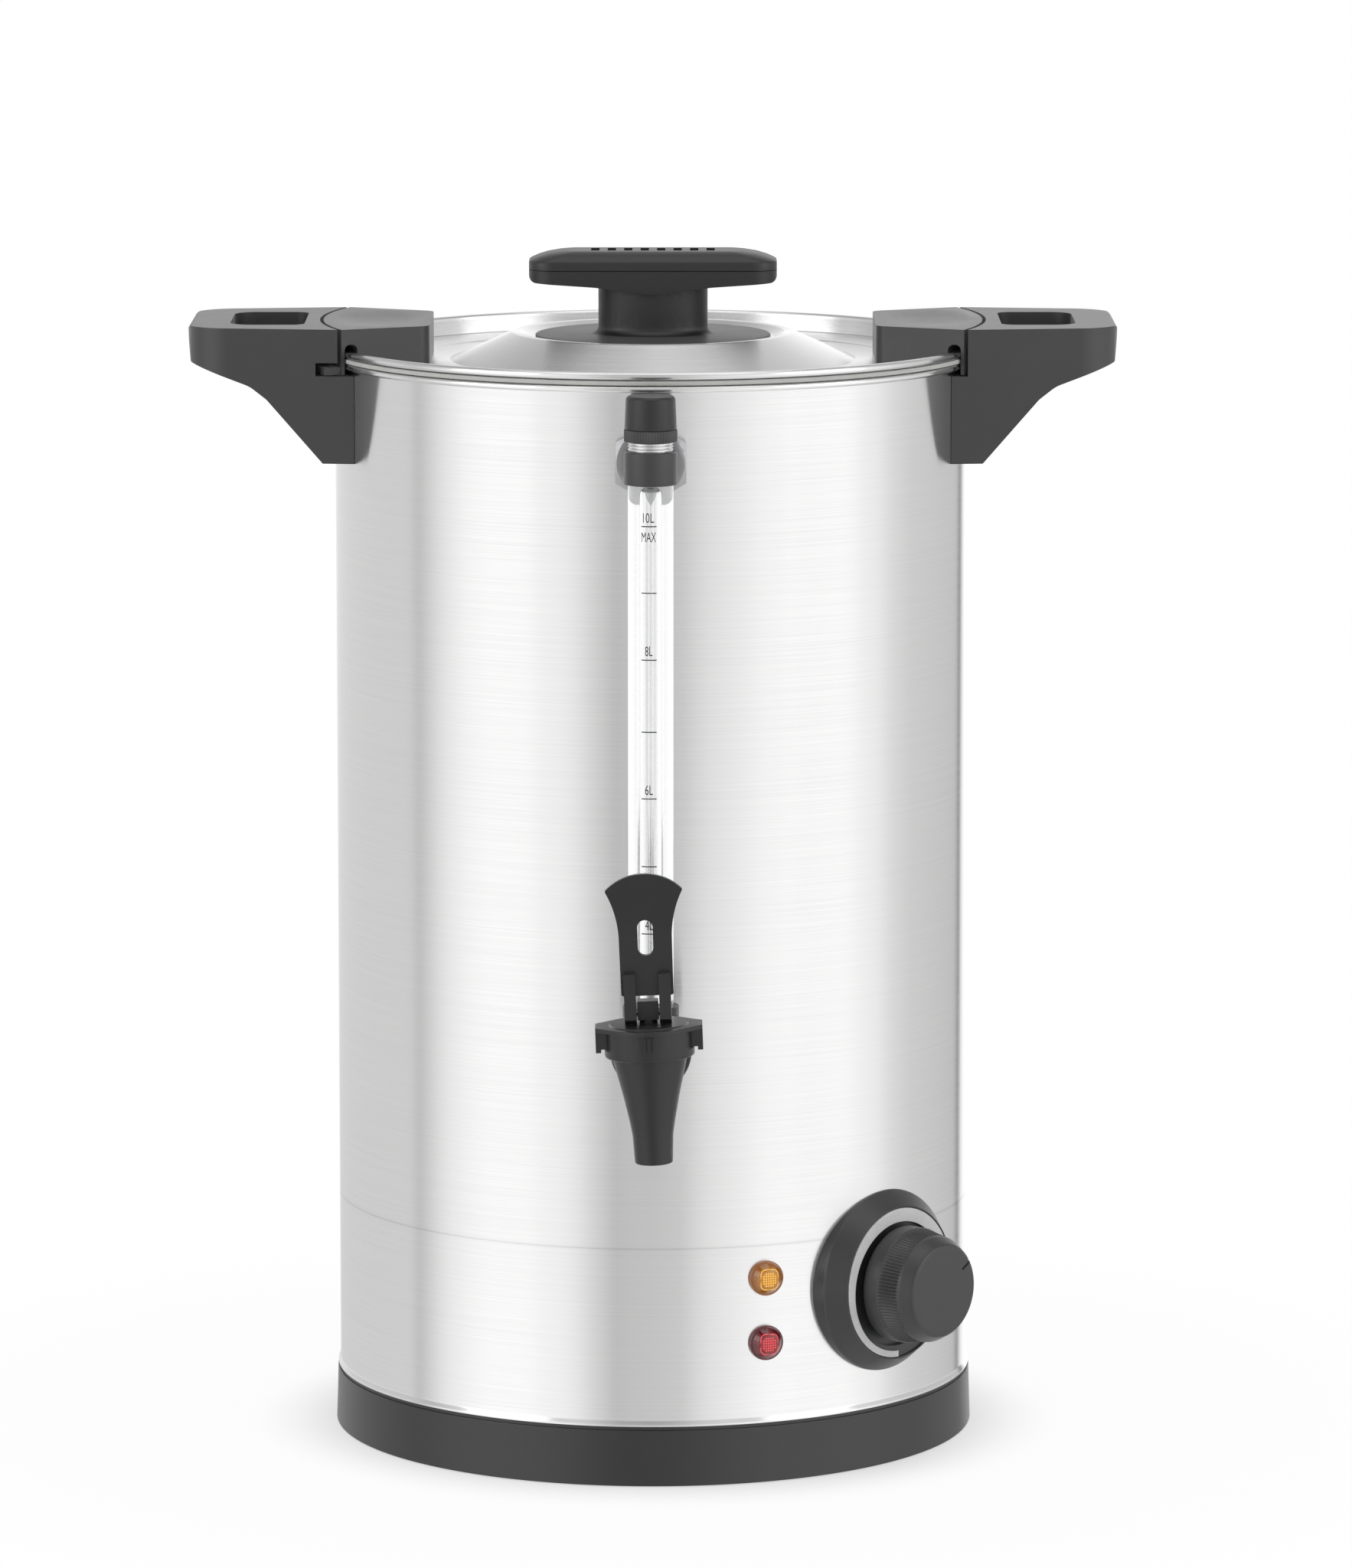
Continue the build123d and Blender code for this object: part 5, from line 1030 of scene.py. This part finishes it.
@dataclass
class Tap:
    """Lever tap: rounded mouldings, the bonnet's brim and the return spring."""

    middle_y: float = -160.0
    inlet_z: float = 157.5
    lean: float = 2.15
    brim_z: float = 173.75
    brim_top: float = 175.33
    brim_inner: float = 14.02
    brim_radius: float = 16.58
    lug_out: float = 18.6
    lug_half_d: float = 5.0
    spring_top: float = 173.8
    spring_kept: float = 0.757

    def frame(self) -> Matrix:
        """Frame up the tap's own leaning axis, above the base plane."""
        lean = radians(self.lean)
        foot = Vector((GAUGE_X + self.inlet_z * tan(lean), self.middle_y, 0.0))
        return Matrix.Translation(foot) @ Matrix.Rotation(-lean, 4, "Y")

    def press(self, angle: float, radius: float, height: float) -> Point:
        """Draw the brim's edge out to the lugs on both sides."""
        if radius < self.brim_inner + 1:
            return 0.0, 0.0
        turn = asin(abs(sin(angle)))
        corner = Vector((self.lug_out, self.lug_half_d))
        bend = asin(self.lug_half_d / corner.length)
        tangent = bend + acos(self.brim_radius / corner.length)
        if turn < bend:
            return self.lug_out / cos(turn) - self.brim_radius, 0.0
        if turn < tangent:
            return self.brim_radius / cos(turn - tangent) - self.brim_radius, 0.0
        return 0.0, 0.0

    def build(self, bench: Bench) -> None:
        """Round the mouldings' edges, make the brim, and put in a copy of the return spring."""
        for node, body, width in (
            ("tap_lever", Body.LEVER, 0.35),
            ("tap_bonnet", Body.URN, 0.22),
            ("tap_body", Body.URN, 0.25),
            ("tap_stem", Body.STEM, 0.8),
        ):
            bench.soften(node, TAP_PLASTIC, width, body)
        inner, outer = self.brim_inner, self.brim_radius
        foot, top = self.brim_z, self.brim_top
        brim = rounded([(inner, foot), (outer, foot, 0.2), (outer, top, 0.35), (inner, top)])
        mesh = lathe("brim", self.frame(), brim, 192, self.press)
        bench.place("tap_bonnet_brim", mesh, TAP_PLASTIC)
        coil = bench.frame["nodes"]["tap_spring"].data.copy()
        spring = bench.place("tap_return_spring", coil, SCREW_STEEL, ("tap_spring",))
        axis = tuple(self.frame().to_3x3() @ Vector((0.0, 0.0, 1.0)))
        anchor = tuple(self.frame() @ Vector((0.0, 0.0, self.spring_top)) * MM)
        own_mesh(spring)


@dataclass
class Dial:
    """Thermostat dial: a bezel and a tapered knob with a ridged grip and a pointer groove."""

    azimuth: float = 46.3
    height: float = 67.5
    start: float = 123.5
    skirt: float = 6.1
    length: float = 19.9
    skirt_radius: float = 20.8
    top_radius: float = 19.0
    face_radius: float = 16.5
    ridges: int = 100
    ridge_depth: float = 0.55
    grip_from: float = 0.5
    grip_to: float = 5.4
    pointer: float = 33.0
    groove_from: float = 11.8
    groove_half_w: float = 0.62
    groove_depth: float = 0.9
    groove_fall: float = 3.6
    shaft: float = 3.05
    socket: float = 15.0

    def press(self, angle: float, radius: float, height: float) -> Point:
        """Depth of the ridges and of the pointer groove at a place on the knob."""
        face = self.start + self.length
        into = height - self.start - self.skirt - self.grip_from
        out_of = face - self.grip_to - height
        if into > 0 and out_of > 0:
            fade = min(1.0, into / 0.5, out_of / 0.9)
            return -self.ridge_depth * fade * (0.5 - 0.5 * cos(self.ridges * angle)), 0.0
        turn = angle - radians(self.pointer)
        aside, ahead = radius * sin(turn), radius * cos(turn)
        if ahead < self.groove_from or abs(aside) > self.groove_half_w or height < face - self.groove_fall:
            return 0.0, 0.0
        deep = self.groove_depth * (1.0 - (abs(aside) / self.groove_half_w) ** 4)
        return -deep * 0.3, -deep

    def build(self, bench: Bench) -> None:
        """Make the knob and round the bezel's edges."""
        frame = outward(self.azimuth, self.height)
        start, skirt, wide = self.start, self.start + self.skirt, self.skirt_radius
        face, seat, grip_low = start + self.length, start + self.socket, skirt + 0.3
        corners = [
            (self.shaft, start),
            (wide, start, 0.4),
            (wide, skirt, 0.4),
            (wide - 0.25, grip_low),
            (self.top_radius, face - 4.6, 2.5),
            (self.face_radius, face, 2.0),
            (self.groove_from + 0.4, face),
            (self.groove_from, face),
            (0.0, face),
            (0.0, seat),
            (self.shaft, seat),
        ]
        body = rounded(corners, 8)
        points: list[Point] = []
        for here, ahead in zip(body, body[1:] + body[:1]):
            points.append(here)
            if grip_low - 0.01 < here[1] < face - 5 and ahead[1] - here[1] > 2:
                shares = (0.02, 0.06, 0.1, 0.5, 0.86, 0.9, 0.95)
                low, high = Vector(here), Vector(ahead)
                points += [tuple(low.lerp(high, share)) for share in shares]
        mesh = lathe("knob", frame, points, self.ridges * 8, self.press)
        bench.place("dial_grip", mesh, BLACK_PLASTIC, ("dial_knob",), Body.DIAL)
        bench.soften("dial_bezel", BLACK_PLASTIC, 0.35)


@dataclass
class Lamp:
    """Pilot lamp: a domed lens with a beaded window under its skin."""

    name: str
    height: float
    slot: str
    rim: Colour
    middle: Colour
    bright: Colour
    azimuth: float = 20.4
    tank: float = TANK_R
    radius: float = 6.3
    flange: float = 1.5
    dome: float = 4.3
    tail: float = 5.0
    tail_length: float = 17.0
    beads: int = 6
    pitch: float = 0.86
    bead_radius: float = 0.36
    bead_reach: float = 2.9
    window_half_w: float = 3.2
    window_half_h: float = 3.6
    window_corner: float = 1.9
    wire: float = 0.22

    def outline(self) -> list[Point]:
        """Outline of the lens about its own axis."""
        back, seat = self.tank - self.tail_length, self.tank + 0.05
        flange, crown = self.tank + self.flange, self.tank + self.dome
        corners = [
            (0.0, back),
            (self.tail, back, 0.5),
            (self.tail, seat),
            (self.radius, seat),
            (self.radius, flange, 0.5),
            (self.radius - 0.8, flange + 0.3, 0.4),
            (self.radius - 2.6, crown - 0.25, 1.8),
            (0.0, crown),
        ]
        return rounded(corners, 6)

    def skin(self, points: Sequence[Point], radius: float) -> float:
        """Height of the lens's skin at a radius."""
        rim = [point for point in points if point[1] >= self.tank + self.flange]
        for here, ahead in zip(rim, rim[1:]):
            if ahead[0] <= radius <= here[0]:
                share = (here[0] - radius) / max(here[0] - ahead[0], 1e-6)
                return here[1] + (ahead[1] - here[1]) * share
        return rim[-1][1]

    def window(self, frame: Matrix, points: Sequence[Point]) -> Mesh:
        """Rounded-square frame and a grid of small beads, laid on the lens."""
        shape = bmesh.new()
        wire = self.wire
        loops = []
        for x, y in rounded_box(self.window_half_w, self.window_half_h, self.window_corner, 6):
            away = hypot(x, y)
            lift = self.skin(points, away)
            loop = []
            for turn in (radians(60 * number) for number in range(6)):
                reach = wire * cos(turn)
                spot = Vector((x + x / away * reach, y + y / away * reach, lift + wire * 0.7 * sin(turn)))
                loop.append(shape.verts.new(frame @ spot * MM))
            loops.append(loop)
        for loop, following in zip(loops, loops[1:] + loops[:1]):
            ring_of_faces(shape, loop, following)
        for row in range(self.beads):
            for column in range(self.beads):
                x = (column - (self.beads - 1) / 2) * self.pitch
                y = (row - (self.beads - 1) / 2) * self.pitch
                if hypot(x, y) > self.bead_reach:
                    continue
                at = frame @ Vector((x, y, self.skin(points, hypot(x, y)) - 0.1)) * MM
                spot = Matrix.Translation(at)
                size = self.bead_radius * MM
                bmesh.ops.create_uvsphere(shape, u_segments=10, v_segments=6, radius=size, matrix=spot)
        return finished_mesh(self.name + "_window", shape, 60.0)

    def build(self, bench: Bench) -> None:
        """Make the lens and its window."""
        frame = outward(self.azimuth, self.height)
        points = self.outline()
        middle = tuple(frame @ Vector((0.0, 0.0, self.tank + self.dome)))
        lens = LampLens(self.name + "_lens", self.slot, self.rim, self.middle, middle)
        glow = LampLens(self.name + "_bead", self.slot, self.bright, self.bright, middle, glow=0.35)
        mesh = lathe(self.name, frame, points, 64)
        bench.place(self.name + "_dome", mesh, lens, (self.name,))
        bench.place(self.name + "_window", self.window(frame, points), glow)


# ---- Studio ----


@dataclass
class Studio:
    """Pale floor, soft lights, a surround for the metal, and the camera.

    The surround's panels are pairs of a heading in degrees, with 0 behind the camera, and a grey level.
    """

    floor_radius: float = 8.0
    ambient: float = 0.62
    gloss: float = 1.32
    zenith_dim: float = 0.45
    floor_dim: float = 0.24
    sky_dim: float = 0.22
    panels: tuple[Point, ...] = (
        (-180, 1.0), (-168, 0.625), (-118, 0.635), (-99, 0.64), (-95, 0.5), (-91, 0.62),
        (-85, 0.77), (-79, 0.88), (-62, 0.96), (-46, 0.95), (-34, 0.92), (-28, 0.84),
        (-21, 0.675), (-16, 0.585), (-13.5, 0.5), (-11, 0.55), (0, 0.575), (11, 0.61),
        (14, 0.685), (20, 0.785), (30, 0.87), (42, 0.98), (57, 0.94), (74, 0.97),
        (90, 0.885), (96, 0.76), (108, 0.64), (146, 0.52), (148.5, 0.15), (151, 0.15),
        (153, 0.8), (160, 1.0),
    )

    def surround(self) -> None:
        """World: white to the camera, and white panels with grey gaps to shiny faces."""
        world = bpy.data.worlds.new("studio_surround")
        bpy.context.scene.world = world
        graph = fresh_graph(world)
        x, y, z = graph.parts(graph.add("ShaderNodeTexCoord", output="Generated"))
        turn = x.maths("ARCTAN2", x, y * -1.0)
        stops = [((place + 180) / 360, level) for place, level in self.panels]
        band = graph.add("ShaderNodeValToRGB", {0: turn / (2 * pi) + 0.5}, stops=stops)
        high = graph.step(z, 0.25, 0.95)
        low = 1.0 - graph.step(z, -0.24, -0.08)
        sky = graph.step(z, 0.02, 0.12)
        level = band * (1.0 - high * self.zenith_dim) * (1.0 - low * self.floor_dim)
        level = level * (1.0 - sky * self.sky_dim)
        camera, glossy, through = graph.rays()
        mirrored = (glossy | through) * (1.0 - camera)
        plain = 1.0 - (glossy | through | camera)
        strength = camera + mirrored * level * self.gloss + plain * self.ambient
        shader = graph.add("ShaderNodeBackground", {"Color": (1.0, 1.0, 1.0, 1.0), "Strength": strength})
        graph.add("ShaderNodeOutputWorld", {"Surface": shader})

    def floor(self) -> None:
        """Pale floor that keeps a soft shadow and fades into white."""
        shape = bmesh.new()
        bmesh.ops.create_circle(shape, cap_ends=True, segments=96, radius=self.floor_radius)
        mesh = bpy.data.meshes.new("floor")
        shape.to_mesh(mesh)
        shape.free()
        floor = put("floor", mesh)
        finish = bpy.data.materials.new("pale_floor")
        graph = fresh_graph(finish)
        x, y, _ = graph.parts(graph.spot())
        away = graph.distance(x, y)
        camera, glossy, through = graph.rays()
        paint = graph.add("ShaderNodeBsdfDiffuse", {"Color": (0.9, 0.9, 0.9, 1.0)})
        white = graph.add("ShaderNodeEmission", {"Color": (1.0, 1.0, 1.0, 1.0), "Strength": 1.0})
        shown = camera | through
        near = graph.step(away, 0.112, 0.15) * 0.38
        far = graph.step(away, 0.15, 0.4) * 0.07
        fade = (near + far + 0.55) * shown
        lit = graph.add("ShaderNodeMixShader", {0: fade, 1: paint, 2: white})
        clear = graph.add("ShaderNodeBsdfTransparent")
        both = graph.add("ShaderNodeMixShader", {0: glossy * (1.0 - shown), 1: lit, 2: clear})
        graph.add("ShaderNodeOutputMaterial", {"Surface": both})
        mesh.materials.append(finish)

    def lights(self) -> None:
        """Three large soft lights."""
        for name, spot, size, power in (
            ("overhead_light", (0.0, -0.3, 2.2), 1.8, 9.0),
            ("left_light", (-1.9, -1.2, 1.1), 1.3, 7.0),
            ("right_light", (1.9, -1.0, 1.1), 1.3, 6.0),
        ):
            lamp = bpy.data.lights.new(name, "AREA")
            lamp.shape = "SQUARE"
            lamp.size = size
            lamp.energy = power
            holder = put(name, lamp)
            holder.location = spot
            aim = Vector((0.0, 0.0, 0.22)) - holder.location
            holder.rotation_euler = aim.to_track_quat("-Z", "Y").to_euler()

    def camera(self) -> None:
        """Camera a little above the urn, looking down at it."""
        eye = bpy.data.cameras.new("camera")
        eye.sensor_width = 36.0
        eye.lens = 192.726
        eye.clip_start = 0.1
        eye.clip_end = 60.0
        holder = put("camera", eye)
        holder.location = (0.0083117, -3.025594, 0.697991)
        holder.rotation_euler = (radians(90.0 - 8.701), 0.0, 0.0)
        bpy.context.scene.camera = holder

    def build(self) -> None:
        """Set up the whole studio."""
        bpy.context.scene.view_settings.view_transform = "Standard"
        self.surround()
        self.floor()
        self.lights()
        self.camera()


def main() -> None:
    """Build every sub-assembly in order and note how many pieces were made."""
    logging.basicConfig(level=logging.INFO, format="%(message)s")
    for leftover in list(bpy.data.objects):
        bpy.data.objects.remove(leftover)
    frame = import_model()
    bench = Bench(frame)
    amber = Lamp("lamp_amber", 74.25, "amber_lens", (0.3, 0.1, 0.012), (0.62, 0.27, 0.03), (0.95, 0.52, 0.06))
    red = Lamp("lamp_red", 50.85, "red_lens", (0.1, 0.006, 0.01), (0.3, 0.012, 0.02), (0.9, 0.07, 0.09))
    for part in (Tank(), Lid(), Knob(), Handles(), Gauge(), Tap(), Dial(), amber, red):
        part.build(bench)
    bench.dress_rest()
    Studio().build()
    LOG.info("%d pieces made", len(bench.made))


if __name__ == "__main__":
    main()
